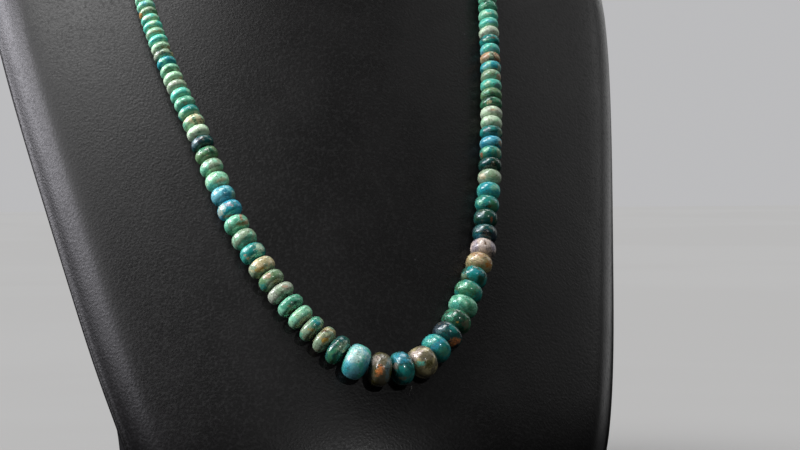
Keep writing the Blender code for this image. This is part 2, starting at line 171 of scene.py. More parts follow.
# The beads that the camera sees, from the top of the left side down to the middle and up the right.
SEEN_STONES = (
    Stone(T.SEAFOAM, T.GREY_SAGE, 0.2),
    Stone(T.SEAFOAM, T.SKY_BLUE, 0.2, (Patch(T.DEEP_BLUE, 0.35, 0.0, 0.4, 0.16),
        Patch(T.AQUA, -0.4, 0.3, 0.5, 0.2))),
    Stone(T.SAGE, T.LEAF, 0.4, (Patch(T.AMBER, -0.8, -0.2, 0.4, 0.35, 70),
        Patch(T.GREEN, 0.6, 0.2, 0.35, 0.3))),
    Stone(T.MINT, T.AQUA, 0.1, (Patch(T.BLACK, -0.45, -0.15, 0.14, 0.1),
        Patch(T.PALE_MINT, -0.4, 0.25, 0.5, 0.3))),
    Stone(T.MINT, T.AQUA, 0.2, (Patch(T.OLIVE, 0.1, 0.05, 0.8, 0.13, 8),
        Patch(T.STRAW, 0.3, -0.35, 0.5, 0.14, 8))),
    Stone(T.SEAFOAM, T.SAGE, 0.3, (Patch(T.STRAW, 0.3, 0.3, 0.5, 0.2),)),
    Stone(T.AQUA, T.SEAFOAM, 0.1, (Patch(T.BLUE_TEAL, -0.3, 0.1, 0.7, 0.14, 12),)),
    Stone(T.PALE_MINT, T.MINT, 0.4, (Patch(T.TAN, 0.75, 0.1, 0.35, 0.3),
        Patch(T.OLIVE, 0.25, 0.15, 0.3, 0.16))),
    Stone(T.SAGE, T.DARK_GREEN, 0.8, (Patch(T.DARK_TEAL, 0.1, 0.3, 0.3, 0.25),
        Patch(T.CREAM, 0.85, 0.2, 0.3, 0.3), Patch(T.GREY_SAGE, -0.7, 0.0, 0.35, 0.5))),
    Stone(T.BLUE_TEAL, T.AQUA, 0.1, (Patch(T.DARK_TEAL, -0.5, -0.5, 0.5, 0.25),
        Patch(T.SEAFOAM, -0.4, 0.35, 0.5, 0.2, 10))),
    Stone(T.GREEN, T.SEAFOAM, 0.4, (Patch(T.MINT, -0.55, 0.15, 0.5, 0.22, 40),
        Patch(T.GREY_SAGE, 0.75, 0.1, 0.3, 0.3), Patch(T.DARK_GREEN, 0.1, -0.2, 0.5, 0.15))),
    Stone(T.MINT, T.PALE_MINT, 0.2, (Patch(T.OLIVE, 0.2, -0.1, 0.35, 0.2, 20),
        Patch(T.CREAM, 0.7, 0.1, 0.3, 0.3))),
    Stone(T.GREY_SAGE, T.SAGE, 0.3),
    Stone(T.SEAFOAM, T.AQUA, 0.3, (Patch(T.DARK_GREEN, 0.3, -0.1, 0.5, 0.2, 10),
        Patch(T.TEAL, -0.2, -0.5, 0.6, 0.2, 15))),
    Stone(T.SEAFOAM, T.SEA_GREEN, 0.2, (Patch(T.TAN, 0.15, 0.1, 0.25, 0.16),
        Patch(T.GREEN, 0.3, -0.35, 0.5, 0.2))),
    Stone(T.SEA_GREEN, T.TEAL, 0.3, (Patch(T.GREY_SAGE, 0.7, 0.1, 0.35, 0.2, -30),
        Patch(T.MINT, -0.7, -0.1, 0.35, 0.4, 60), Patch(T.DARK_TEAL, 0.1, -0.35, 0.6, 0.18, 15))),
    Stone(T.MINT, T.CREAM, 0.5, (Patch(T.GREEN, 0.1, 0.35, 0.6, 0.2, -60),
        Patch(T.SEA_GREEN, -0.8, -0.3, 0.3, 0.4), Patch(T.PINK, 0.7, 0.1, 0.3, 0.25))),
    Stone(T.PALE_MINT, T.MINT, 0.3, (Patch(T.OLIVE, 0.05, -0.3, 0.45, 0.16, 5),
        Patch(T.GREEN, 0.65, -0.3, 0.4, 0.2), Patch(T.GREEN, 0.1, 0.1, 0.3, 0.1))),
    # A grey-blue painted reflection on the left of this dark bead.
    Stone(T.NAVY, T.DARK_TEAL, 0.3, (Patch(T.PAINTED_REFLECTION, -0.65, 0.1, 0.4, 0.45, 60),
        Patch(T.BLACK, 0.4, -0.1, 0.5, 0.25))),
    Stone(T.LEAF, T.GREEN, 0.4, (Patch(T.PINK, 0.1, 0.05, 0.14, 0.1),
        Patch(T.DARK_GREEN, 0.15, 0.5, 0.4, 0.16))),
    Stone(T.SEAFOAM, T.SAGE, 0.4, (Patch(T.GREY_SAGE, 0.3, 0.0, 0.5, 0.3),
        Patch(T.SEA_GREEN, -0.5, -0.4, 0.5, 0.3, 40))),
    Stone(T.MINT, T.SEAFOAM, 0.1, (Patch(T.CREAM, 0.35, 0.1, 0.5, 0.25, 25),
        Patch(T.AQUA, -0.5, -0.4, 0.4, 0.4, 50))),
    Stone(T.BLUE_TEAL, T.SKY_BLUE, 0.1, (Patch(T.DEEP_BLUE, 0.35, 0.25, 0.5, 0.35, -30),
        Patch(T.SKY_BLUE, -0.6, 0.0, 0.4, 0.5, 60), Patch(T.SAGE, 0.85, 0.1, 0.25, 0.35))),
    Stone(T.CLEAR_BLUE, T.BLUE_TEAL, 0.1, (Patch(T.GREY_SAGE, -0.7, 0.0, 0.6, 0.35, 70),
        Patch(T.RUST, -0.1, -0.45, 0.6, 0.16, 12), Patch(T.LILAC, 0.0, 0.5, 0.4, 0.2))),
    Stone(T.SEA_GREEN, T.SEAFOAM, 0.3, (Patch(T.RUST, 0.4, 0.6, 0.14, 0.42, 10),
        Patch(T.TAN, 0.75, 0.2, 0.3, 0.3), Patch(T.OLIVE, 0.35, 0.1, 0.45, 0.25))),
    Stone(T.SAGE, T.SEAFOAM, 0.2, (Patch(T.SEA_GREEN, 0.3, 0.1, 0.5, 0.3, 30),)),
    Stone(T.TEAL, T.AQUA, 0.2, (Patch(T.PALE_MINT, 0.55, 0.45, 0.45, 0.3, -35),
        Patch(T.CREAM, -0.3, -0.35, 0.15, 0.12), Patch(T.PINK, -0.5, -0.1, 0.13, 0.1))),
    Stone(T.SAGE, T.CREAM, 0.2, (Patch(T.GOLD, -0.1, -0.15, 0.5, 0.2, 18),
        Patch(T.STRAW, 0.1, 0.5, 0.7, 0.25, 15))),
    Stone(T.LEAF, T.SAGE, 0.3, (Patch(T.PINK, -0.25, 0.35, 0.4, 0.2, 25),
        Patch(T.TEAL, -0.6, -0.5, 0.45, 0.35, 30), Patch(T.OLIVE, 0.35, 0.0, 0.45, 0.2, 25))),
    Stone(T.GREY_SAGE, T.SAGE, 0.4, (Patch(T.DARK_GREEN, 0.35, -0.15, 0.5, 0.16, 25),
        Patch(T.PINK, 0.3, 0.5, 0.3, 0.14))),
    Stone(T.SEAFOAM, T.SEA_GREEN, 0.4, (Patch(T.DARK_GREEN, 0.35, 0.15, 0.45, 0.3),
        Patch(T.GOLD, -0.05, 0.0, 0.14, 0.08), Patch(T.DARK_OLIVE, 0.05, -0.4, 0.45, 0.2, 30))),
    Stone(T.MINT, T.SEAFOAM, 0.1, (Patch(T.STRAW, 0.25, -0.2, 0.8, 0.2, 40),)),
    Stone(T.SAGE, T.SEA_GREEN, 0.3, (Patch(T.BLUE_TEAL, 0.45, 0.5, 0.35, 0.25, -20),
        Patch(T.GOLD, 0.05, 0.0, 0.26, 0.14), Patch(T.DARK_OLIVE, 0.05, -0.4, 0.6, 0.28, 25))),
    Stone(T.SAGE, T.STRAW, 0.3, (Patch(T.BROWN, -0.05, 0.65, 0.4, 0.12),
        Patch(T.GOLD, 0.1, 0.05, 0.3, 0.2, 20), Patch(T.DARK_GREEN, 0.3, -0.35, 0.5, 0.2, 20))),
    Stone(T.DARK_TEAL, T.GREEN, 0.5, (Patch(T.SAGE, 0.35, 0.25, 0.55, 0.3, 38),
        Patch(T.TEAL, -0.5, 0.2, 0.4, 0.2, 50), Patch(T.CREAM, 0.4, 0.0, 0.2, 0.1))),
    Stone(T.SKY_BLUE, T.AQUA, 0.25, (Patch(T.ICE_BLUE, 0.0, 0.45, 0.7, 0.5, 15),
        Patch(T.CLEAR_BLUE, 0.6, -0.25, 0.7, 0.22, 66), Patch(T.BLUE_TEAL, -0.65, -0.35, 0.5, 0.3, 55))),
    Stone(T.SMOKE, T.DARK_OLIVE, 0.6, (Patch(T.ORANGE, -0.03, 0.0, 0.36, 0.24, 75),
        # A grey-blue painted reflection runs down the right of this bead.
        Patch(T.PEARL, -0.3, 0.6, 0.4, 0.2, 40), Patch(T.PAINTED_REFLECTION, 0.45, 0.0, 0.8, 0.15, 88))),
    Stone(T.DARK_TEAL, T.TEAL, 0.2, (Patch(T.CLEAR_BLUE, -0.05, 0.7, 0.6, 0.38),
        Patch(T.PEARL, -0.35, 0.15, 0.26, 0.18, 60), Patch(T.SMOKE, 0.15, -0.52, 0.38, 0.12))),
    Stone(T.SMOKE, T.STRAW, 0.5, (Patch(T.AQUA, -0.1, -0.05, 0.45, 0.17, 8),
        Patch(T.DARK_OLIVE, 0.4, -0.1, 0.35, 0.3, -50), Patch(T.PEARL, -0.45, 0.45, 0.6, 0.3, 35))),
    Stone(T.TEAL, T.BLUE_TEAL, 0.2, (Patch(T.AQUA, -0.4, 0.55, 0.6, 0.35, 30),
        Patch(T.CLEAR_BLUE, -0.05, 0.2, 0.85, 0.2, 38), Patch(T.SEA_GREEN, 0.5, -0.2, 0.4, 0.35, -40))),
    Stone(T.NAVY, T.DARK_TEAL, 0.3, (Patch(T.ORANGE, 0.45, -0.4, 0.45, 0.32, 35),
        # A grey-blue painted reflection on the upper left of this dark bead.
        Patch(T.PAINTED_REFLECTION, -0.45, 0.4, 0.4, 0.25, 30), Patch(T.TEAL, 0.4, 0.45, 0.4, 0.2, -35))),
    Stone(T.DARK_GREEN, T.GREEN, 0.4, (Patch(T.SEA_GREEN, -0.45, 0.35, 0.5, 0.35, 40),
        Patch(T.GOLD, 0.05, 0.0, 0.14, 0.08), Patch(T.SMOKE, 0.6, -0.2, 0.4, 0.3, -60))),
    Stone(T.SEA_GREEN, T.SEAFOAM, 0.3, (Patch(T.AQUA, -0.55, 0.1, 0.45, 0.4),
        Patch(T.STRAW, 0.0, -0.4, 0.5, 0.12, -15), Patch(T.GREEN, 0.5, 0.0, 0.4, 0.25, -35))),
    Stone(T.TEAL, T.GREEN, 0.2, (Patch(T.SEAFOAM, -0.4, 0.5, 0.5, 0.25, 15),
        Patch(T.SEA_GREEN, 0.5, 0.3, 0.5, 0.3, -40))),
    Stone(T.TEAL, T.DARK_GREEN, 0.4, (Patch(T.BLUE_TEAL, 0.2, 0.45, 0.7, 0.24, -20),
        Patch(T.SAGE, -0.75, 0.1, 0.3, 0.2, 70), Patch(T.DARK_OLIVE, -0.35, -0.25, 0.7, 0.25, -18))),
    Stone(T.STRAW, T.TAN, 0.4, (Patch(T.CREAM, -0.3, 0.35, 0.6, 0.25, -10),
        Patch(T.OLIVE, 0.1, -0.2, 0.4, 0.2, -20), Patch(T.AMBER, 0.7, -0.1, 0.35, 0.3, -60))),
    Stone(T.PEARL, T.LILAC, 0.3, (Patch(T.NAVY, 0.75, -0.4, 0.4, 0.25, -35),
        Patch(T.BROWN, 0.15, 0.35, 0.1, 0.28))),
    Stone(T.NAVY, T.DARK_TEAL, 0.2, (Patch(T.DEEP_BLUE, -0.55, -0.25, 0.4, 0.35, 80),
        # A grey-blue painted reflection on the upper left of this dark bead.
        Patch(T.PAINTED_REFLECTION, -0.45, 0.4, 0.4, 0.25, 25), Patch(T.BLACK, 0.1, 0.1, 0.5, 0.3))),
    # A grey-blue painted reflection on the upper left of this dark bead.
    Stone(T.DARK_TEAL, T.DARK_GREEN, 0.3, (Patch(T.PAINTED_REFLECTION, -0.45, 0.35, 0.35, 0.28),
        Patch(T.RUST, 0.45, 0.0, 0.12, 0.28))),
    Stone(T.TEAL, T.GREEN, 0.3, (Patch(T.BLACK, 0.0, -0.1, 0.34, 0.15),
        Patch(T.SEAFOAM, -0.6, 0.2, 0.35, 0.25), Patch(T.DARK_OLIVE, 0.15, -0.15, 0.2, 0.14))),
    Stone(T.BLUE_TEAL, T.AQUA, 0.1, (Patch(T.SEAFOAM, 0.5, 0.3, 0.4, 0.3),)),
    Stone(T.SAGE, T.GREY_SAGE, 0.3, (Patch(T.CREAM, -0.6, 0.1, 0.35, 0.3),
        Patch(T.BLACK, -0.1, 0.45, 0.12, 0.07), Patch(T.LEAF, 0.2, 0.2, 0.4, 0.2))),
    Stone(T.DEEP_GREEN, T.DARK_TEAL, 0.3, (Patch(T.BLACK, 0.05, 0.1, 0.55, 0.4),
        # A small grey-blue painted reflection on the upper left of this dark bead.
        Patch(T.PAINTED_REFLECTION, -0.45, 0.35, 0.2, 0.1), Patch(T.DARK_TEAL, -0.7, -0.4, 0.3, 0.3))),
    Stone(T.SEA_GREEN, T.TEAL, 0.3, (Patch(T.RUST, -0.8, -0.1, 0.3, 0.2, 90),
        Patch(T.SAGE, 0.75, 0.1, 0.4, 0.3, 90), Patch(T.SEAFOAM, -0.4, 0.4, 0.4, 0.2))),
    Stone(T.CLEAR_BLUE, T.SKY_BLUE, 0.1, (Patch(T.SKY_BLUE, -0.4, 0.3, 0.5, 0.3),
        Patch(T.TAN, 0.85, 0.0, 0.3, 0.2, 90), Patch(T.DARK_GREEN, 0.45, -0.2, 0.3, 0.25))),
    # A grey-blue painted reflection on the upper left of this bead.
    Stone(T.TEAL, T.DARK_TEAL, 0.3, (Patch(T.PAINTED_REFLECTION, -0.4, 0.3, 0.4, 0.25),
        Patch(T.DARK_GREEN, 0.1, 0.0, 0.3, 0.3), Patch(T.SAGE, 0.8, 0.0, 0.4, 0.25, 90))),
    Stone(T.PALE_MINT, T.MINT, 0.1, (Patch(T.SEAFOAM, 0.3, -0.3, 0.4, 0.2),)),
    Stone(T.PALE_MINT, T.GREY_SAGE, 0.2, (Patch(T.TAN, 0.2, 0.4, 0.4, 0.12),)),
    Stone(T.GREEN, T.DARK_GREEN, 0.4, (Patch(T.CREAM, -0.3, 0.2, 0.3, 0.16, 15),
        Patch(T.BLACK, 0.1, -0.1, 0.4, 0.2))),
    Stone(T.GREEN, T.LEAF, 0.5, (Patch(T.DARK_GREEN, 0.2, -0.1, 0.5, 0.3),
        Patch(T.SEAFOAM, -0.5, 0.2, 0.4, 0.3))),
    Stone(T.AQUA, T.SEAFOAM, 0.1, (Patch(T.MINT, -0.3, 0.2, 0.5, 0.25),
        Patch(T.PAINTED_REFLECTION, 0.6, 0.0, 0.4, 0.3, 90))),
    Stone(T.SAGE, T.SEAFOAM, 0.3, (Patch(T.LEAF, 0.0, 0.4, 0.5, 0.2), Patch(T.PINK, 0.7, 0.0, 0.4, 0.3, 90),
        Patch(T.BROWN, -0.3, -0.4, 0.5, 0.1))),
    Stone(T.BLUE_TEAL, T.SEAFOAM, 0.3, (Patch(T.SKY_BLUE, -0.5, 0.1, 0.4, 0.2, 25),
        Patch(T.BROWN, 0.35, -0.1, 0.4, 0.12), Patch(T.GREY_SAGE, 0.8, 0.0, 0.4, 0.25, 90))),
    Stone(T.TAN, T.SAGE, 0.6, (Patch(T.RUST, 0.55, -0.1, 0.4, 0.25), Patch(T.PINK, -0.4, 0.2, 0.35, 0.2),
        Patch(T.DARK_GREEN, 0.1, 0.0, 0.4, 0.15))),
    Stone(T.AQUA, T.SKY_BLUE, 0.1, (Patch(T.SKY_BLUE, 0.1, 0.1, 0.45, 0.25),)),
    Stone(T.TEAL, T.DARK_TEAL, 0.3, (Patch(T.SEAFOAM, -0.35, 0.2, 0.45, 0.12, 20),
        Patch(T.BROWN, 0.3, 0.4, 0.3, 0.1))),
    Stone(T.GREY_SAGE, T.PALE_MINT, 0.3, (Patch(T.AQUA, 0.0, -0.4, 0.7, 0.2),
        Patch(T.TAN, 0.5, -0.1, 0.25, 0.18))),
    Stone(T.AQUA, T.SEAFOAM, 0.1, (Patch(T.SKY_BLUE, 0.2, 0.3, 0.5, 0.2),
        Patch(T.GREY_SAGE, 0.6, -0.3, 0.4, 0.2, 20))),
    Stone(T.SEAFOAM, T.AQUA, 0.1, (Patch(T.PALE_MINT, -0.1, 0.3, 0.5, 0.2),)),
    Stone(T.SEA_GREEN, T.DARK_GREEN, 0.6, (Patch(T.MINT, -0.4, 0.2, 0.4, 0.14, 30),)),
    Stone(T.SEA_GREEN, T.SEAFOAM, 0.3),
)

# The run of stones that goes on over the shoulders and round the nape.
UNSEEN_STONES = (
    Stone(T.SEAFOAM, T.SAGE, 0.3),
    Stone(T.TEAL, T.DARK_TEAL, 0.3),
    Stone(T.MINT, T.SEA_GREEN, 0.2),
    Stone(T.AQUA, T.BLUE_TEAL, 0.1),
    Stone(T.LEAF, T.OLIVE, 0.6),
    Stone(T.PALE_MINT, T.GREY_SAGE, 0.3),
    Stone(T.GREEN, T.DARK_GREEN, 0.4),
    Stone(T.SKY_BLUE, T.AQUA, 0.2),
    Stone(T.SAGE, T.TAN, 0.5),
    Stone(T.SEA_GREEN, T.TEAL, 0.2),
    Stone(T.STRAW, T.LEAF, 0.5),
)


@dataclass(frozen=True)
class Waves:
    """A noise pattern: its waves in a unit of length, its finer layers and how far it is swirled."""

    scale: float
    detail: float = 2.0
    distortion: float = 0.0


@dataclass(frozen=True)
class Relief:
    """A relief: how deep a whole unit of its height is in metres, and the share of it that shows."""

    depth: float
    share: float


class Shader:
    """Adds nodes to one node tree and joins them, so that a finish reads as a few steps."""

    MIX_RESULT = 2
    MIX_A = 6
    MIX_B = 7

    def __init__(self, tree: bpy.types.NodeTree) -> None:
        """Starts on a node tree.

        Args:
            tree: the tree of a material or of a node group.
        """
        self.tree = tree

    def node(self, kind: str, **settings: object) -> bpy.types.Node:
        """Adds one node.

        Args:
            kind: the node's type, without its ShaderNode prefix.
            settings: properties of the node, by name.

        Returns:
            The new node.
        """
        made = self.tree.nodes.new("ShaderNode" + kind)
        for name, value in settings.items():
            setattr(made, name, value)
        return made

    def feed(self, socket: bpy.types.NodeSocket, value: object) -> None:
        """Joins an output to a socket, or sets the socket's own value.

        Args:
            socket: the input that is fed.
            value: an output socket, a number or a colour.
        """
        if isinstance(value, bpy.types.NodeSocket):
            self.tree.links.new(value, socket)
        else:
            socket.default_value = value

    def math(
        self, operation: str, first: object, second: object = 0.0, clamp: bool = False,
    ) -> bpy.types.NodeSocket:
        """Works out one step of arithmetic.

        Args:
            operation: the Math node's operation.
            first: its first number or socket.
            second: its second number or socket.
            clamp: whether the result stays between 0 and 1.

        Returns:
            The result's socket.
        """
        made = self.node("Math", operation=operation, use_clamp=clamp)
        self.feed(made.inputs[0], first)
        self.feed(made.inputs[1], second)
        return made.outputs[0]

    def step(self, value: object, low: float, high: float) -> bpy.types.NodeSocket:
        """Turns a value into a soft mask.

        Args:
            value: the socket that is read.
            low: the value where the mask is still 0.
            high: the value where the mask reaches 1.

        Returns:
            The mask's socket.
        """
        made = self.node("MapRange", interpolation_type="SMOOTHSTEP")
        self.feed(made.inputs["Value"], value)
        made.inputs["From Min"].default_value = low
        made.inputs["From Max"].default_value = high
        return made.outputs["Result"]

    def mix(self, share: object, first: object, second: object, blend: str = "MIX") -> bpy.types.NodeSocket:
        """Mixes two colours.

        Args:
            share: how much of the second, as a number or a mask.
            first: the first colour or socket.
            second: the second colour or socket.
            blend: the Mix node's blend type.

        Returns:
            The mixed colour's socket.
        """
        made = self.node("Mix", data_type="RGBA", blend_type=blend, clamp_factor=True)
        self.feed(made.inputs["Factor"], share)
        self.feed(made.inputs[self.MIX_A], first)
        self.feed(made.inputs[self.MIX_B], second)
        return made.outputs[self.MIX_RESULT]

    def linear(self, value: object, slope: float, start: float) -> bpy.types.NodeSocket:
        """Multiplies a value and adds to it.

        Args:
            value: the socket that is read.
            slope: what it is multiplied by.
            start: what is added.

        Returns:
            The result's socket.
        """
        made = self.node("Math", operation="MULTIPLY_ADD")
        for socket, term in zip(made.inputs, (value, slope, start)):
            self.feed(socket, term)
        return made.outputs[0]

    def noise(self, place: object, waves: Waves, output: str = "Fac") -> bpy.types.NodeSocket:
        """Adds a noise pattern.

        Args:
            place: the coordinates' socket.
            waves: the pattern.
            output: which of the node's outputs is used.

        Returns:
            The pattern's socket.
        """
        made = self.node("TexNoise")
        self.feed(made.inputs["Vector"], place)
        made.inputs["Scale"].default_value = waves.scale
        made.inputs["Detail"].default_value = waves.detail
        made.inputs["Distortion"].default_value = waves.distortion
        return made.outputs[output]

    def cells(self, place: object, scale: float, feature: str = "F1") -> bpy.types.NodeSocket:
        """Adds a pattern of cells.

        Args:
            place: the coordinates' socket.
            scale: how many cells there are along a metre.
            feature: the Voronoi node's feature.

        Returns:
            The distance socket.
        """
        made = self.node("TexVoronoi", feature=feature)
        self.feed(made.inputs["Vector"], place)
        made.inputs["Scale"].default_value = scale
        return made.outputs["Distance"]

    def moved(self, place: object, shift: object, amount: float) -> bpy.types.NodeSocket:
        """Moves coordinates by a pattern.

        Args:
            place: the coordinates' socket.
            shift: a vector, colour or value socket that says where to.
            amount: how far a whole unit of it reaches.

        Returns:
            The moved coordinates' socket.
        """
        made = self.node("VectorMath", operation="MULTIPLY_ADD")
        self.feed(made.inputs[0], shift)
        made.inputs[1].default_value = (amount, amount, amount)
        self.feed(made.inputs[2], place)
        return made.outputs[0]

    def swirled(self, place: object, waves: Waves, reach: float) -> bpy.types.NodeSocket:
        """Swirls coordinates by a noise pattern.

        Args:
            place: the coordinates' socket.
            waves: the pattern.
            reach: how far a whole unit of it moves them.

        Returns:
            The swirled coordinates' socket.
        """
        return self.moved(place, self.noise(place, waves, "Color"), reach)

    def in_units(self, place: object, size: object) -> bpy.types.NodeSocket:
        """Measures coordinates in units of a size.

        Args:
            place: the coordinates' socket.
            size: the size in metres, as a socket.

        Returns:
            The measured coordinates' socket.
        """
        made = self.node("VectorMath", operation="SCALE")
        self.feed(made.inputs[0], place)
        self.feed(made.inputs["Scale"], self.math("DIVIDE", 1.0, size))
        return made.outputs[0]

    def bump(self, height: object, relief: Relief, normal: object = None) -> bpy.types.NodeSocket:
        """Adds a relief.

        Args:
            height: the relief's height socket.
            relief: its depth, and how much of it shows.
            normal: the relief below it, if there is one.

        Returns:
            The normal's socket.
        """
        made = self.node("Bump")
        made.inputs["Distance"].default_value = relief.depth
        made.inputs["Strength"].default_value = relief.share
        self.feed(made.inputs["Height"], height)
        if normal is not None:
            self.feed(made.inputs["Normal"], normal)
        return made.outputs["Normal"]

    def group(self, tree: bpy.types.NodeTree, **values: object) -> bpy.types.Node:
        """Places a node group.

        Args:
            tree: the group.
            values: numbers, colours or sockets for its inputs, by name, with _ for a space.

        Returns:
            The group's node.
        """
        made = self.node("Group", node_tree=tree)
        for name, value in values.items():
            self.feed(made.inputs[name.replace("_", " ")], value)
        return made


def new_group(
    name: str, inputs: dict[str, str], outputs: dict[str, str],
) -> tuple[Shader, bpy.types.Node, bpy.types.Node]:
    """Starts a node group.

    Args:
        name: the group's name.
        inputs: its inputs' names and kinds of socket, without their NodeSocket prefix.
        outputs: its outputs' names and kinds.

    Returns:
        What adds nodes to it, its input node and its output node.
    """
    tree = bpy.data.node_groups.new(name, "ShaderNodeTree")
    for label, kind in inputs.items():
        tree.interface.new_socket(label, in_out="INPUT", socket_type="NodeSocket" + kind)
    for label, kind in outputs.items():
        tree.interface.new_socket(label, in_out="OUTPUT", socket_type="NodeSocket" + kind)
    return Shader(tree), tree.nodes.new("NodeGroupInput"), tree.nodes.new("NodeGroupOutput")


class SurfaceEffects:
    """The node groups that more than one finish uses."""

    CLOUDS = Waves(1.0, 4.0, 0.8)
    CLOUD_EDGE = (0.44, 0.60)
    FINE_CLOUDS = Waves(4.6, 3.0)
    SPOT_EDGE = (-0.12, 0.46)
    FLECK_REGIONS = Waves(0.7, 1.0)
    REGION_EDGE = (0.48, 0.62)
    FLECK_EDGE = (-0.05, 0.05)

    def __init__(self) -> None:
        """Builds each group once."""
        self.cloudy = self.build_cloudy()
        self.spot = self.build_spot()
        self.flecks = self.build_flecks()

    def build_cloudy(self) -> bpy.types.NodeTree:
        """Two colours that cloud into each other, with a finer unevenness over both.

        Returns:
            The group.
        """
        inputs = {"Place": "Vector", "First": "Color", "Second": "Color",
                  "Size": "Float", "Unevenness": "Float"}
        shader, start, end = new_group("cloudy_colour", inputs, {"Colour": "Color", "Clouds": "Float"})
        place = shader.in_units(start.outputs["Place"], start.outputs["Size"])
        clouds = shader.step(shader.noise(place, self.CLOUDS), *self.CLOUD_EDGE)
        colour = shader.mix(clouds, start.outputs["First"], start.outputs["Second"])
        fine = shader.math("SUBTRACT", shader.noise(place, self.FINE_CLOUDS), NOISE_MIDDLE)
        swing = shader.math("MULTIPLY", fine, start.outputs["Unevenness"])
        darker = shader.math("ADD", swing, 1.0)
        grey = shader.node("CombineColor")
        for channel in ("Red", "Green", "Blue"):
            shader.feed(grey.inputs[channel], darker)
        shader.feed(end.inputs["Colour"], shader.mix(1.0, colour, grey.outputs["Color"], "MULTIPLY"))
        shader.feed(end.inputs["Clouds"], clouds)
        return shader.tree

    def build_spot(self) -> bpy.types.NodeTree:
        """Lays a spot with an uneven edge over a colour.

        Returns:
            The group.
        """
        inputs = {"Colour": "Color", "Tone": "Color", "Field": "Float", "Ragged": "Float", "Broken": "Float"}
        shader, start, end = new_group("stone_spot", inputs, {"Colour": "Color"})
        uneven = shader.math("ADD", start.outputs["Field"], start.outputs["Ragged"])
        mask = shader.step(uneven, *self.SPOT_EDGE)
        share = shader.math("MULTIPLY", mask, start.outputs["Broken"], True)
        shader.feed(end.inputs["Colour"], shader.mix(share, start.outputs["Colour"], start.outputs["Tone"]))
        return shader.tree

    def build_flecks(self) -> bpy.types.NodeTree:
        """A mask of small scattered specks.

        Returns:
            The group.
        """
        inputs = {"Place": "Vector", "Spacing": "Float", "Share": "Float"}
        shader, start, end = new_group("flecks", inputs, {"Flecks": "Float"})
        place = shader.in_units(start.outputs["Place"], start.outputs["Spacing"])
        near = shader.cells(place, 1.0)
        region = shader.step(shader.noise(place, self.FLECK_REGIONS), *self.REGION_EDGE)
        size = shader.math("MULTIPLY", start.outputs["Share"], region)
        flecks = shader.step(shader.math("SUBTRACT", size, near), *self.FLECK_EDGE)
        shader.feed(end.inputs["Flecks"], flecks)
        return shader.tree


def new_material(name: str) -> tuple[bpy.types.Material, Shader, bpy.types.Node]:
    """Starts a material.

    Args:
        name: its name.

    Returns:
        The material, what adds nodes to it, and its Principled shader.
    """
    material = bpy.data.materials.new(name)
    material.use_nodes = True
    return material, Shader(material.node_tree), material.node_tree.nodes["Principled BSDF"]


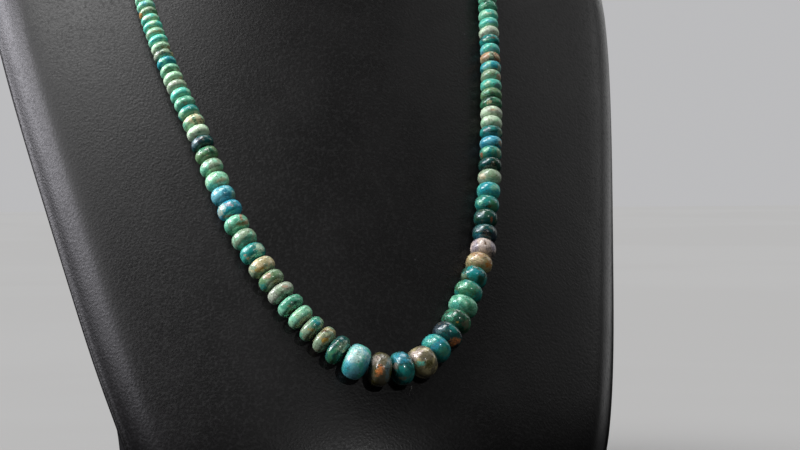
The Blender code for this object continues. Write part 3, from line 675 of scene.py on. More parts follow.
@dataclass(frozen=True)
class TurquoiseFinish:
    """Polished turquoise: clouded colours, spots, dark veins and specks under a glossy face."""

    cloud_size: float = 0.0042
    unevenness: float = 0.90
    ragged: Waves = Waves(760.0, 5.0, 0.9)
    ragged_height: float = 2.3
    broken: Waves = Waves(1900.0, 4.0)
    broken_edge: Edge = (0.36, 0.60)
    broken_swing: float = 0.55
    broken_least: float = 0.42
    swirl: Waves = Waves(420.0)
    swirl_reach: float = 0.0022
    earth: Waves = Waves(520.0, 5.0, 1.4)
    earth_edge: Edge = (0.52, 0.74)
    earth_share: float = 0.46
    earth_colour: Colour = (0.105, 0.090, 0.042, 1.0)
    vein_spacing: float = 0.0034
    vein_width: float = 0.055
    vein_regions: Waves = Waves(190.0)
    vein_region_edge: Edge = (0.46, 0.60)
    vein_strength: float = 1.7
    vein_colour: Colour = (0.020, 0.016, 0.009, 1.0)
    vein_roughness: float = 0.25
    fleck_spacing: float = 0.0011
    fleck_size: float = 0.26
    fleck_share: float = 0.55
    fleck_colour: Colour = (0.055, 0.050, 0.022, 1.0)
    warmth: Colour = (1.14, 1.0, 0.93, 1.0)
    worn: Waves = Waves(800.0)
    worn_swing: float = 0.12
    roughness: float = 0.15
    refraction: float = 1.52
    polish: float = 0.24
    polish_roughness: float = 0.04
    hand_cut: Waves = Waves(380.0)
    cut_relief: Relief = Relief(0.00010, 0.25)
    pit_relief: Relief = Relief(0.00008, 0.6)

    def attribute(self, shader: Shader, name: str) -> bpy.types.Node:
        """Reads one of the beads' colour attributes."""
        return shader.node("Attribute", attribute_name=name)

    def spotted(
        self, shader: Shader, effects: SurfaceEffects, colour: bpy.types.NodeSocket,
        place: bpy.types.NodeSocket,
    ) -> bpy.types.NodeSocket:
        """Lays the chart's spots over the clouded colour.

        Args:
            shader: what adds the nodes.
            effects: the shared node groups.
            colour: the clouded colour.
            place: the bead's own coordinates.

        Returns:
            The colour with its spots.
        """
        ragged = shader.math("SUBTRACT", shader.noise(place, self.ragged), NOISE_MIDDLE)
        ragged = shader.math("MULTIPLY", ragged, self.ragged_height)
        whole = shader.step(shader.noise(place, self.broken), *self.broken_edge)
        broken = shader.linear(whole, self.broken_swing, self.broken_least)
        for number in range(1, SPOTS + 1):
            spot = self.attribute(shader, f"spot_{number}")
            laid = shader.group(effects.spot, Colour=colour, Tone=spot.outputs["Color"],
                                Field=spot.outputs["Alpha"], Ragged=ragged, Broken=broken)
            colour = laid.outputs["Colour"]
        return colour

    def vein_mask(
        self, shader: Shader, place: bpy.types.NodeSocket, swirled: bpy.types.NodeSocket,
        veins: bpy.types.NodeSocket,
    ) -> bpy.types.NodeSocket:
        """Draws the veins between the cells of a swirled pattern, in some regions of the stone.

        Args:
            shader: what adds the nodes.
            place: the bead's own coordinates.
            swirled: the same, swirled.
            veins: how much of them this bead has.

        Returns:
            The mask's socket.
        """
        ridge = shader.cells(swirled, 1.0 / self.vein_spacing, "DISTANCE_TO_EDGE")
        line = shader.math("SUBTRACT", 1.0, shader.step(ridge, 0.0, self.vein_width), True)
        region = shader.step(shader.noise(place, self.vein_regions), *self.vein_region_edge)
        amount = shader.math("MULTIPLY", shader.math("MULTIPLY", veins, region), self.vein_strength)
        return shader.math("MULTIPLY", line, amount, True)

    def build(self, effects: SurfaceEffects) -> bpy.types.Material:
        """Builds the material.

        Args:
            effects: the shared node groups.

        Returns:
            The material.
        """
        material, shader, principled = new_material("polished_turquoise")
        body = self.attribute(shader, "body")
        clouds = self.attribute(shader, "clouds")
        own_place = shader.node("TexCoord").outputs["Object"]
        seeded = shader.moved(own_place, body.outputs["Alpha"], 1.0)
        swirled = shader.swirled(seeded, self.swirl, self.swirl_reach)
        cloudy = shader.group(effects.cloudy, Place=seeded, First=body.outputs["Color"],
                              Second=clouds.outputs["Color"], Size=self.cloud_size,
                              Unevenness=self.unevenness)
        colour = self.spotted(shader, effects, cloudy.outputs["Colour"], seeded)
        earth = shader.step(shader.noise(seeded, self.earth), *self.earth_edge)
        colour = shader.mix(shader.math("MULTIPLY", earth, self.earth_share), colour, self.earth_colour)
        veins = self.vein_mask(shader, seeded, swirled, clouds.outputs["Alpha"])
        colour = shader.mix(veins, colour, self.vein_colour)
        flecks = shader.group(effects.flecks, Place=swirled, Spacing=self.fleck_spacing,
                              Share=self.fleck_size)
        fleck_mask = shader.math("MULTIPLY", flecks.outputs["Flecks"], self.fleck_share)
        colour = shader.mix(fleck_mask, colour, self.fleck_colour)
        shader.feed(principled.inputs["Base Color"], shader.mix(1.0, colour, self.warmth, "MULTIPLY"))

        rough = shader.linear(shader.noise(seeded, self.worn), self.worn_swing, self.roughness)
        rough = shader.math("ADD", rough, shader.math("MULTIPLY", veins, self.vein_roughness))
        shader.feed(principled.inputs["Roughness"], rough)
        principled.inputs["IOR"].default_value = self.refraction
        principled.inputs["Coat Weight"].default_value = self.polish
        principled.inputs["Coat Roughness"].default_value = self.polish_roughness
        hand_cut = shader.bump(shader.noise(seeded, self.hand_cut), self.cut_relief)
        pits = shader.math("SUBTRACT", 0.0, shader.math("MAXIMUM", veins, fleck_mask))
        shader.feed(principled.inputs["Normal"], shader.bump(pits, self.pit_relief, hand_cut))
        return material


@dataclass(frozen=True)
class LeatheretteFinish:
    """Charcoal leatherette: a fine pebble grain, faint creases and a soft sheen."""

    dark: Colour = (0.0030, 0.0028, 0.0028, 1.0)
    pale: Colour = (0.0046, 0.0043, 0.0043, 1.0)
    tone_size: float = 0.030
    unevenness: float = 0.25
    pebble: float = 0.00085
    swirl: Waves = Waves(700.0)
    swirl_reach: float = 0.0005
    valley_edge: Edge = (0.35, 0.75)
    valley_share: float = 0.45
    valley_colour: Colour = (0.0016, 0.0015, 0.0015, 1.0)
    valley_roughness: float = 0.10
    lint_spacing: float = 0.011
    lint_size: float = 0.024
    lint_colour: Colour = (0.07, 0.07, 0.074, 1.0)
    roughness: float = 0.31
    rubbed: Waves = Waves(60.0, 3.0)
    rubbed_swing: float = 0.10
    neck_end: float = 0.289
    neck_end_fade: float = 0.002
    neck_end_roughness: float = 0.40
    refraction: float = 1.34
    padding: Waves = Waves(22.0)
    padding_relief: Relief = Relief(0.0016, 0.07)
    creases: Waves = Waves(95.0, 2.0, 0.8)
    crease_stretch: tuple[float, float, float] = (1.0, 1.0, 0.22)
    crease_relief: Relief = Relief(0.00050, 0.06)
    grain: Waves = Waves(1500.0)
    grain_swing: float = 0.8
    grain_relief: Relief = Relief(0.00013, 0.32)

    def rub(
        self, shader: Shader, place: bpy.types.NodeSocket, valleys: bpy.types.NodeSocket,
    ) -> bpy.types.NodeSocket:
        """Makes it duller between the pebbles, where it is rubbed, and on the neck's flat end.

        Args:
            shader: what adds the nodes.
            place: the bust's own coordinates.
            valleys: the mask of what lies between the pebbles.

        Returns:
            The roughness socket.
        """
        rough = shader.linear(shader.noise(place, self.rubbed), self.rubbed_swing, self.roughness)
        rough = shader.math("ADD", rough, shader.math("MULTIPLY", valleys, self.valley_roughness))
        height = shader.node("SeparateXYZ")
        shader.feed(height.inputs[0], place)
        neck_end = shader.step(height.outputs["Z"], self.neck_end - self.neck_end_fade, self.neck_end)
        return shader.math("ADD", rough, shader.math("MULTIPLY", neck_end, self.neck_end_roughness))

    def emboss(
        self, shader: Shader, place: bpy.types.NodeSocket, pebbles: bpy.types.NodeSocket,
    ) -> bpy.types.NodeSocket:
        """Lays the grain over faint creases, and those over the padding's waves.

        Args:
            shader: what adds the nodes.
            place: the bust's own coordinates.
            pebbles: the distance from a pebble's middle.

        Returns:
            The normal's socket.
        """
        padding = shader.bump(shader.noise(place, self.padding), self.padding_relief)
        stretch = shader.node("Mapping")
        stretch.inputs["Scale"].default_value = self.crease_stretch
        shader.feed(stretch.inputs["Vector"], place)
        creases = shader.noise(stretch.outputs["Vector"], self.creases)
        creased = shader.bump(creases, self.crease_relief, padding)
        uneven = shader.math("MULTIPLY", shader.noise(place, self.grain), self.grain_swing)
        return shader.bump(shader.math("SUBTRACT", uneven, pebbles), self.grain_relief, creased)

    def build(self, effects: SurfaceEffects) -> bpy.types.Material:
        """Builds the material.

        Args:
            effects: the shared node groups.

        Returns:
            The material.
        """
        material, shader, principled = new_material("charcoal_leatherette")
        place = shader.node("TexCoord").outputs["Object"]
        cloudy = shader.group(effects.cloudy, Place=place, First=self.dark, Second=self.pale,
                              Size=self.tone_size, Unevenness=self.unevenness)
        swirled = shader.swirled(place, self.swirl, self.swirl_reach)
        pebbles = shader.cells(swirled, 1.0 / self.pebble, "SMOOTH_F1")
        valleys = shader.step(pebbles, *self.valley_edge)
        dark_share = shader.math("MULTIPLY", valleys, self.valley_share)
        colour = shader.mix(dark_share, cloudy.outputs["Colour"], self.valley_colour)
        lint = shader.group(effects.flecks, Place=place, Spacing=self.lint_spacing, Share=self.lint_size)
        colour = shader.mix(lint.outputs["Flecks"], colour, self.lint_colour)
        shader.feed(principled.inputs["Base Color"], colour)
        shader.feed(principled.inputs["Roughness"], self.rub(shader, place, valleys))
        principled.inputs["IOR"].default_value = self.refraction
        shader.feed(principled.inputs["Normal"], self.emboss(shader, place, pebbles))
        return material


@dataclass(frozen=True)
class PlainFinish:
    """A finish of two colours that cloud into each other, with an uneven roughness and fine marks.

    The roughness follows its own waves, or the clouds where it has none.
    """

    name: str
    first: Colour
    second: Colour
    tone_size: float
    unevenness: float
    roughness: float
    rough_swing: float = 0.0
    rough_waves: Waves | None = None
    marks: Waves | None = None
    mark_relief: Relief | None = None
    metallic: float = 0.0
    specular: float = 0.5

    def build(self, effects: SurfaceEffects) -> bpy.types.Material:
        """Builds the material.

        Args:
            effects: the shared node groups.

        Returns:
            The material.
        """
        material, shader, principled = new_material(self.name)
        place = shader.node("TexCoord").outputs["Object"]
        cloudy = shader.group(effects.cloudy, Place=place, First=self.first, Second=self.second,
                              Size=self.tone_size, Unevenness=self.unevenness)
        shader.feed(principled.inputs["Base Color"], cloudy.outputs["Colour"])
        uneven = cloudy.outputs["Clouds"]
        if self.rough_waves is not None:
            uneven = shader.noise(place, self.rough_waves)
        rough = shader.linear(uneven, self.rough_swing, self.roughness)
        shader.feed(principled.inputs["Roughness"], rough)
        principled.inputs["Metallic"].default_value = self.metallic
        principled.inputs["Specular IOR Level"].default_value = self.specular
        if self.marks is not None:
            marks = shader.bump(shader.noise(place, self.marks), self.mark_relief)
            shader.feed(principled.inputs["Normal"], marks)
        return material


# Dark and fibrous, and a little shiny.
WAXED_THREAD = PlainFinish(
    "waxed_thread", (0.012, 0.016, 0.015, 1.0), (0.040, 0.050, 0.046, 1.0), tone_size=0.0006, unevenness=0.6,
    roughness=0.5, rough_swing=0.2, marks=Waves(5200.0, 3.0), mark_relief=Relief(0.00006, 0.6),
)
# Bright, with fine turning marks and a little tarnish.
WORN_SILVER = PlainFinish(
    "worn_silver", (0.72, 0.71, 0.68, 1.0), (0.40, 0.38, 0.34, 1.0), tone_size=0.0030, unevenness=0.2,
    roughness=0.18, rough_swing=0.25, rough_waves=Waves(1500.0, 3.0), marks=Waves(3000.0),
    mark_relief=Relief(0.00003, 0.4), metallic=1.0,
)
PALE_FLOOR = PlainFinish(
    "pale_floor", (0.618, 0.614, 0.611, 1.0), (0.630, 0.627, 0.625, 1.0), tone_size=0.6, unevenness=0.012,
    roughness=0.9, specular=0.0,
)


@dataclass(frozen=True)
class PhotoCamera:
    """The camera where the photograph was taken from."""

    azimuth: float = math.radians(-18.0)
    elevation: float = math.radians(2.0)
    distance: float = 0.700
    aim: Vector = Vector((0.0108, -0.04862, 0.110))
    focal_length_px: float = 2100.0
    image_width_px: float = 800.0
    sensor_width: float = 36.0
    nearest: float = 0.01

    @property
    def back(self) -> Vector:
        """The direction from what it looks at to the camera.

        Returns:
            The direction, one unit long.
        """
        level = math.cos(self.elevation)
        across = math.sin(self.azimuth) * level
        return Vector((across, -math.cos(self.azimuth) * level, math.sin(self.elevation)))

    @property
    def right(self) -> Vector:
        """The picture's direction to the right."""
        return Vector((0, 0, 1)).cross(self.back).normalized()

    @property
    def up(self) -> Vector:
        """The picture's direction upwards."""
        return self.back.cross(self.right)

    def spot(self, right: float, up: float, back: float) -> Vector:
        """A place seen from what the camera looks at, along the picture's own directions."""
        return self.aim + self.right * right + self.up * up + self.back * back

    def place(self) -> bpy.types.Object:
        """Adds the camera and makes it the scene's.

        Returns:
            The camera object.
        """
        data = bpy.data.cameras.new("photo_camera")
        data.sensor_width = self.sensor_width
        data.lens = self.focal_length_px / self.image_width_px * self.sensor_width
        data.clip_start = self.nearest
        camera = bpy.data.objects.new("photo_camera", data)
        camera.location = self.spot(0, 0, self.distance)
        camera.rotation_euler = self.back.to_track_quat("Z", "Y").to_euler()
        bpy.context.scene.collection.objects.link(camera)
        bpy.context.scene.camera = camera
        return camera


@dataclass(frozen=True)
class Softbox:
    """One lamp, placed along the picture's own directions from what the camera looks at."""

    name: str
    right: float
    up: float
    back: float
    width: float
    height: float
    power: float
    colour: tuple[float, float, float] = (1.0, 1.0, 1.0)

    def place(self, camera: PhotoCamera, lit: bpy.types.Collection) -> None:
        """Adds the lamp, facing the necklace.

        Args:
            camera: the camera whose directions it is placed by.
            lit: what it lights.
        """
        data = bpy.data.lights.new(self.name, "AREA")
        data.shape = "RECTANGLE"
        data.size = self.width
        data.size_y = self.height
        data.energy = self.power
        data.color = self.colour
        lamp = bpy.data.objects.new(self.name, data)
        lamp.location = camera.spot(self.right, self.up, self.back)
        lamp.rotation_euler = (lamp.location - camera.aim).to_track_quat("Z", "Y").to_euler()
        lamp.light_linking.receiver_collection = lit
        bpy.context.scene.collection.objects.link(lamp)


@dataclass(frozen=True)
class Studio:
    """A pale floor under a dim room with a few soft lamps."""

    floor_size: float = 8.0
    floor_squares: int = 8
    backdrop: Colour = (0.50, 0.50, 0.51, 1.0)
    dimness: Colour = (0.030, 0.030, 0.032, 1.0)
    floor_light: float = 2.72
    floor_light_spread: float = math.radians(40)
    floor_light_turn: tuple[float, float, float] = (math.radians(12), math.radians(-25), 0)
    lamps: tuple[Softbox, ...] = (
        Softbox("window", -0.756, 0.422, -0.246, 0.40, 0.40, 5.8, DAYLIGHT),
        Softbox("left_softbox", -0.70, 0.25, 0.10, 0.18, 0.26, 3.2, DAYLIGHT),
        Softbox("left_front_softbox", -0.60, 0.30, 0.30, 0.12, 0.28, 1.9, DAYLIGHT),
        Softbox("overhead", -0.12, 0.36, 0.12, 0.12, 0.20, 1.02),
        Softbox("left_fill", -0.25, 0.22, 0.15, 0.20, 0.20, 0.50),
        Softbox("right_softbox", 0.756, 0.422, -0.246, 0.36, 0.36, 0.66),
        Softbox("high_right_softbox", 0.578, 0.689, 0.0, 0.36, 0.36, 0.45),
        Softbox("right_strip", 0.53, 0.08, -0.71, 0.60, 0.36, 0.50),
        Softbox("back_right_softbox", 0.323, 0.4225, -0.726, 0.36, 0.36, 1.3),
        Softbox("hair_softbox", 0.154, 0.846, -0.267, 0.36, 0.36, 1.8),
        Softbox("small_key", 0.40, 0.44, 0.95, 0.042, 0.042, 1.9),
    )

    def light_room(self) -> None:
        """Makes the world: a pale backdrop for the camera, and a dim room for the light."""
        world = bpy.data.worlds.new("studio_room")
        bpy.context.scene.world = world
        world.use_nodes = True
        shader = Shader(world.node_tree)
        backdrop = world.node_tree.nodes["Background"]
        seen = shader.node("LightPath").outputs["Is Camera Ray"]
        shader.feed(backdrop.inputs["Color"], shader.mix(seen, self.dimness, self.backdrop))

    def lay_floor(self, effects: SurfaceEffects) -> bpy.types.Object:
        """Lays the floor.

        Args:
            effects: the shared node groups.

        Returns:
            The floor.
        """
        bm = bmesh.new()
        bmesh.ops.create_grid(bm, x_segments=self.floor_squares, y_segments=self.floor_squares,
                              size=self.floor_size / 2)
        mesh = bpy.data.meshes.new("studio_floor")
        bm.to_mesh(mesh)
        bm.free()
        mesh.materials.append(PALE_FLOOR.build(effects))
        floor = bpy.data.objects.new("studio_floor", mesh)
        bpy.context.scene.collection.objects.link(floor)
        floor.visible_diffuse = False
        floor.visible_glossy = False
        self.light_floor(floor)
        return floor

    def light_floor(self, floor: bpy.types.Object) -> None:
        """Lights the floor evenly with a lamp that reaches nothing else.

        Args:
            floor: the floor.
        """
        lit = bpy.data.collections.new("lit_by_floor_lamp")
        lit.objects.link(floor)
        data = bpy.data.lights.new("floor_lamp", "SUN")
        data.energy = self.floor_light
        data.angle = self.floor_light_spread
        lamp = bpy.data.objects.new("floor_lamp", data)
        lamp.rotation_euler = self.floor_light_turn
        lamp.light_linking.receiver_collection = lit
        bpy.context.scene.collection.objects.link(lamp)

    def all_but(self, floor: bpy.types.Object) -> bpy.types.Collection:
        """Makes what the softboxes light: everything but the floor.

        Args:
            floor: the floor.

        Returns:
            The collection that leaves it out.
        """
        spared = bpy.data.collections.new("lit_by_softboxes")
        spared.objects.link(floor)
        spared.collection_objects[0].light_linking.link_state = "EXCLUDE"
        return spared

    def build(self, camera: PhotoCamera, effects: SurfaceEffects) -> None:
        """Lights and floors the studio.

        Args:
            camera: the camera whose directions the lamps are placed by.
            effects: the shared node groups.
        """
        self.light_room()
        lit = self.all_but(self.lay_floor(effects))
        for lamp in self.lamps:
            lamp.place(camera, lit)
        bpy.context.scene.view_settings.view_transform = "Standard"


@dataclass(frozen=True)
class RoutePoint:
    """A point of the string's route on the bust, in shares of the bust's own sizes.

    Across is a share of half the shoulders' width. Along is the height as a share of the bust's on
    the chest and the nape, and the depth as a share of half the bust's on the shoulders.
    """

    across: float
    along: float


@dataclass(frozen=True)
class Grade:
    """Diameter and thickness of the bead that lies so many beads out, as shares of the largest."""

    beads_out: int
    left_diameter: float
    left_thickness: float
    right_diameter: float
    right_thickness: float

    def towards(self, other: "Grade", beads_out: int, side: int) -> tuple[float, float]:
        """The shares between this row and another one.

        Args:
            other: the row further out.
            beads_out: how many beads out the bead lies.
            side: -1 on the left and 1 on the right.

        Returns:
            The share of the largest diameter and of the largest thickness.
        """
        share = min((beads_out - self.beads_out) / (other.beads_out - self.beads_out), 1.0)
        here = (self.left_diameter, self.left_thickness, self.right_diameter, self.right_thickness)
        there = (other.left_diameter, other.left_thickness, other.right_diameter, other.right_thickness)
        graded = [first + (second - first) * share for first, second in zip(here, there)]
        return (graded[0], graded[1]) if side < 0 else (graded[2], graded[3])


LOWEST_POINT = RoutePoint(-0.048, 0.2155)
CHEST_LEFT = (
    RoutePoint(-0.112, 0.2240), RoutePoint(-0.187, 0.2490), RoutePoint(-0.245, 0.2735),
    RoutePoint(-0.309, 0.3135), RoutePoint(-0.371, 0.3600), RoutePoint(-0.424, 0.4210),
    RoutePoint(-0.464, 0.4800), RoutePoint(-0.503, 0.5275), RoutePoint(-0.538, 0.5740),
    RoutePoint(-0.571, 0.6310), RoutePoint(-0.588, 0.6800), RoutePoint(-0.582, 0.7200),
)
CHEST_RIGHT = (
    RoutePoint(0.011, 0.2160), RoutePoint(0.076, 0.2220), RoutePoint(0.125, 0.2360),
    RoutePoint(0.198, 0.2640), RoutePoint(0.264, 0.3030), RoutePoint(0.324, 0.3440),
    RoutePoint(0.351, 0.3785), RoutePoint(0.387, 0.4230), RoutePoint(0.423, 0.4790),
    RoutePoint(0.462, 0.5560), RoutePoint(0.495, 0.6380), RoutePoint(0.517, 0.6850),
    RoutePoint(0.532, 0.7220),
)
SHOULDER = (RoutePoint(0.553, 0.25), RoutePoint(0.525, 0.43), RoutePoint(0.467, 0.61))
NAPE = (RoutePoint(0.290, 0.812), RoutePoint(0.120, 0.806), RoutePoint(0.000, 0.804))
GRADES = (
    Grade(0, 0.98, 0.86, 0.98, 0.86),
    Grade(1, 1.00, 1.00, 0.93, 0.84),
    Grade(2, 0.87, 0.66, 0.93, 0.98),
    Grade(3, 0.80, 0.62, 0.87, 0.78),
    Grade(6, 0.79, 0.58, 0.84, 0.72),
    Grade(10, 0.76, 0.66, 0.75, 0.70),
    Grade(15, 0.69, 0.64, 0.70, 0.60),
    Grade(17, 0.67, 0.51, 0.68, 0.49),
    Grade(20, 0.65, 0.44, 0.67, 0.43),
    Grade(24, 0.61, 0.36, 0.65, 0.41),
    Grade(29, 0.59, 0.31, 0.63, 0.40),
    Grade(36, 0.57, 0.28, 0.59, 0.38),
    Grade(42, 0.55, 0.37, 0.55, 0.37),
    Grade(75, 0.48, 0.36, 0.48, 0.36),
)


@dataclass(frozen=True)
class Lean:
    """The outward part of a bead's axis, so many beads on from the lowest: the left is negative."""

    beads_on: int
    share: float


LEANS = (
    Lean(-46, 0.0), Lean(-37, 0.22), Lean(-18, 0.24), Lean(-7, 0.0),
    Lean(13, 0.0), Lean(22, -0.14), Lean(35, -0.16), Lean(44, 0.0),
)


@dataclass(frozen=True)
class Bead:
    """One bead's place: its centre, the direction away from the bust and its two sizes."""

    centre: Vector
    outward: Vector
    radius: float
    thickness: float


@dataclass
class StringRoute:
    """The way of the string round the bust, on which the beads are set down one after another."""

    surface: BVHTree
    shoulder_width: float
    bust_depth: float
    bust_height: float
    largest_diameter: float = 0.0114
    largest_thickness: float = 0.0080
    bead_spacing: float = 0.00045
    seat_clearance: float = 0.0003
    seating_rounds: int = 6
    first_stride: float = 0.02
    stride_halvings: int = 12
    clasp_length: float = 0.0120
    clasp_diameter: float = 0.0052
    touches: list[tuple[Vector, Vector]] = field(default_factory=list)

    def __post_init__(self) -> None:
        """Finds where the route meets the bust."""
        left = [self.from_front(point) for point in CHEST_LEFT]
        left += [self.from_above(point, -1) for point in SHOULDER]
        left += [self.from_behind(point, -1) for point in NAPE]
        right = [self.from_front(point) for point in CHEST_RIGHT]
        right += [self.from_above(point, 1) for point in SHOULDER]
        right += [self.from_behind(point, 1) for point in NAPE[:-1]]
        self.touches = list(reversed(left)) + [self.from_front(LOWEST_POINT)] + right

    def seen(self, origin: Vector, direction: Vector) -> tuple[Vector, Vector]:
        """Where a line meets the bust, and the bust's normal there."""
        spot, normal, _, _ = self.surface.ray_cast(origin, direction)
        return spot, normal

    def from_front(self, point: RoutePoint) -> tuple[Vector, Vector]:
        """The bust's surface at a point of the chest."""
        origin = Vector((point.across * self.shoulder_width / 2, -1.0, point.along * self.bust_height))
        return self.seen(origin, Vector((0, 1, 0)))

    def from_above(self, point: RoutePoint, side: int) -> tuple[Vector, Vector]:
        """The bust's surface at a point of a shoulder."""
        across = side * point.across * self.shoulder_width / 2
        return self.seen(Vector((across, point.along * self.bust_depth / 2, 1.0)), Vector((0, 0, -1)))

    def from_behind(self, point: RoutePoint, side: int) -> tuple[Vector, Vector]:
        """The bust's surface at a point of the nape."""
        across = side * point.across * self.shoulder_width / 2
        return self.seen(Vector((across, 1.0, point.along * self.bust_height)), Vector((0, -1, 0)))

    def touch(self, way: float) -> tuple[Vector, Vector]:
        """Where the way meets the bust.

        Args:
            way: how many touch points along it lies.

        Returns:
            The spot, and the direction out of the bust.
        """
        count = len(self.touches)
        index = math.floor(way)
        share = way - index
        before, here, there, after = (self.touches[(index + step) % count][0] for step in (-1, 0, 1, 2))
        spot = here.lerp(there, 3 * share ** 2 - 2 * share ** 3)
        spot += (there - before) / 2 * (share ** 3 - 2 * share ** 2 + share)
        spot += (after - here) / 2 * (share ** 3 - share ** 2)
        outward = self.touches[index % count][1].lerp(self.touches[(index + 1) % count][1], share)
        return spot, outward.normalized()

    def lifted(self, way: float, radius: float) -> tuple[Vector, Vector]:
        """Seats a round thing on the bust.

        Args:
            way: how many touch points along it lies.
            radius: its radius.

        Returns:
            Its centre, and the direction out of the bust.
        """
        spot, outward = self.touch(way)
        reach = radius + self.seat_clearance
        centre = spot + outward * reach
        for _ in range(self.seating_rounds):
            below, _, _, distance = self.surface.find_nearest(centre)
            outward = (centre - below).normalized()
            centre = centre + outward * (reach - distance)
        return centre, outward

    def step_from(self, centre: Vector, way: float, radius: float, distance: float, side: int) -> float:
        """Goes on along one side as far as the next bead.

        Args:
            centre: the last bead's centre.
            way: the last bead's place along the way.
            radius: the next bead's radius.
            distance: how far apart their centres are.
            side: -1 on the left and 1 on the right.

        Returns:
            The next bead's place along the way.
        """
        stride = self.first_stride
        reached = way
        while (self.lifted(reached, radius)[0] - centre).length < distance:
            reached += side * stride
        for _ in range(self.stride_halvings):
            stride /= 2
            apart = (self.lifted(reached, radius)[0] - centre).length
            reached += side * (stride if apart < distance else -stride)
        return reached

    def graded(self, beads_out: int, side: int) -> tuple[float, float]:
        """Looks up the sizes of a bead.

        Args:
            beads_out: how many beads out it lies.
            side: -1 on the left and 1 on the right.

        Returns:
            Its radius and its thickness.
        """
        inner, outer = GRADES[-2:]
        for here, beyond in zip(GRADES, GRADES[1:]):
            if here.beads_out <= beads_out <= beyond.beads_out:
                inner, outer = here, beyond
                break
        diameter, thickness = inner.towards(outer, beads_out, side)
        return diameter * self.largest_diameter / 2, thickness * self.largest_thickness

    def side_of_beads(self, first: Bead, lowest_way: float, clasp_way: float, side: int) -> list[Bead]:
        """Sets down one side of the string.

        Args:
            first: the lowest bead.
            lowest_way: its place along the way.
            clasp_way: the clasp's place along the way.
            side: -1 on the left and 1 on the right.

        Returns:
            The beads from beside the lowest to the last before the clasp.
        """
        clasp_centre = self.lifted(clasp_way, self.clasp_diameter / 2)[0]
        beads: list[Bead] = []
        last = first
        way = lowest_way
        while True:
            radius, thickness = self.graded(len(beads) + 1, side)
            pitch = (last.thickness + thickness) / 2 + self.bead_spacing
            way = self.step_from(last.centre, way, radius, pitch, side)
            centre, outward = self.lifted(way, radius)
            clasp_room = (self.clasp_length + thickness) / 2 + self.seat_clearance
            if abs(way - clasp_way) < len(NAPE) and (centre - clasp_centre).length < clasp_room:
                return beads
            last = Bead(centre, outward, radius, thickness)
            beads.append(last)

    def whole_string(self) -> tuple[list[Bead], int]:
        """Sets down the whole string.

        Returns:
            The beads from the clasp down the left side and up the right, and the lowest one's index.
        """
        lowest_way = len(NAPE) + len(SHOULDER) + len(CHEST_LEFT)
        radius, thickness = self.graded(0, -1)
        centre, outward = self.lifted(lowest_way, radius)
        lowest = Bead(centre, outward, radius, thickness)
        left = self.side_of_beads(lowest, lowest_way, 0, -1)
        right = self.side_of_beads(lowest, lowest_way, len(self.touches), 1)
        return list(reversed(left)) + [lowest] + right, len(left)


def frame_at(place: Vector, along: Vector, outward: Vector) -> Matrix:
    """A frame that stands on the string.

    Args:
        place: its origin.
        along: the string's direction, which its Z takes.
        outward: the direction away from the bust, which its X leans to.

    Returns:
        The frame as a matrix.
    """
    z_axis = along.normalized()
    x_axis = (outward - z_axis * outward.dot(z_axis)).normalized()
    turn = Matrix((x_axis, z_axis.cross(x_axis), z_axis)).transposed()
    return Matrix.Translation(place) @ turn.to_4x4()


def add_piece(
    name: str, mesh: bpy.types.Mesh, material: bpy.types.Material, nodes: list[str],
) -> bpy.types.Object:
    """Links a finished mesh as a piece of the object.

    Args:
        name: the piece's name.
        mesh: its mesh, with its place in it.
        material: its finish.
        nodes: the CAD nodes that it stands for.

    Returns:
        The piece.
    """
    mesh.materials.append(material)
    piece = bpy.data.objects.new(name, mesh)
    bpy.context.scene.collection.objects.link(piece)
    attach(piece, BODY)
    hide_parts(*nodes)
    LOG.info("%s stands for %s", name, ", ".join(nodes))
    return piece


def turn_outline(bm: bmesh.types.BMesh, outline: list[tuple[float, float]], steps: int) -> None:
    """Turns a closed outline round the Z axis.

    Args:
        bm: the empty mesh that it is made in.
        outline: points across and along the axis.
        steps: how many faces there are round it.
    """
    corners = [bm.verts.new((across, 0.0, up)) for across, up in outline]
    edges = [bm.edges.new(pair) for pair in zip(corners, corners[1:] + corners[:1])]
    bmesh.ops.spin(bm, geom=corners + edges, cent=(0, 0, 0), axis=(0, 0, 1), dvec=(0, 0, 0),
                   angle=math.tau, steps=steps, use_merge=True)


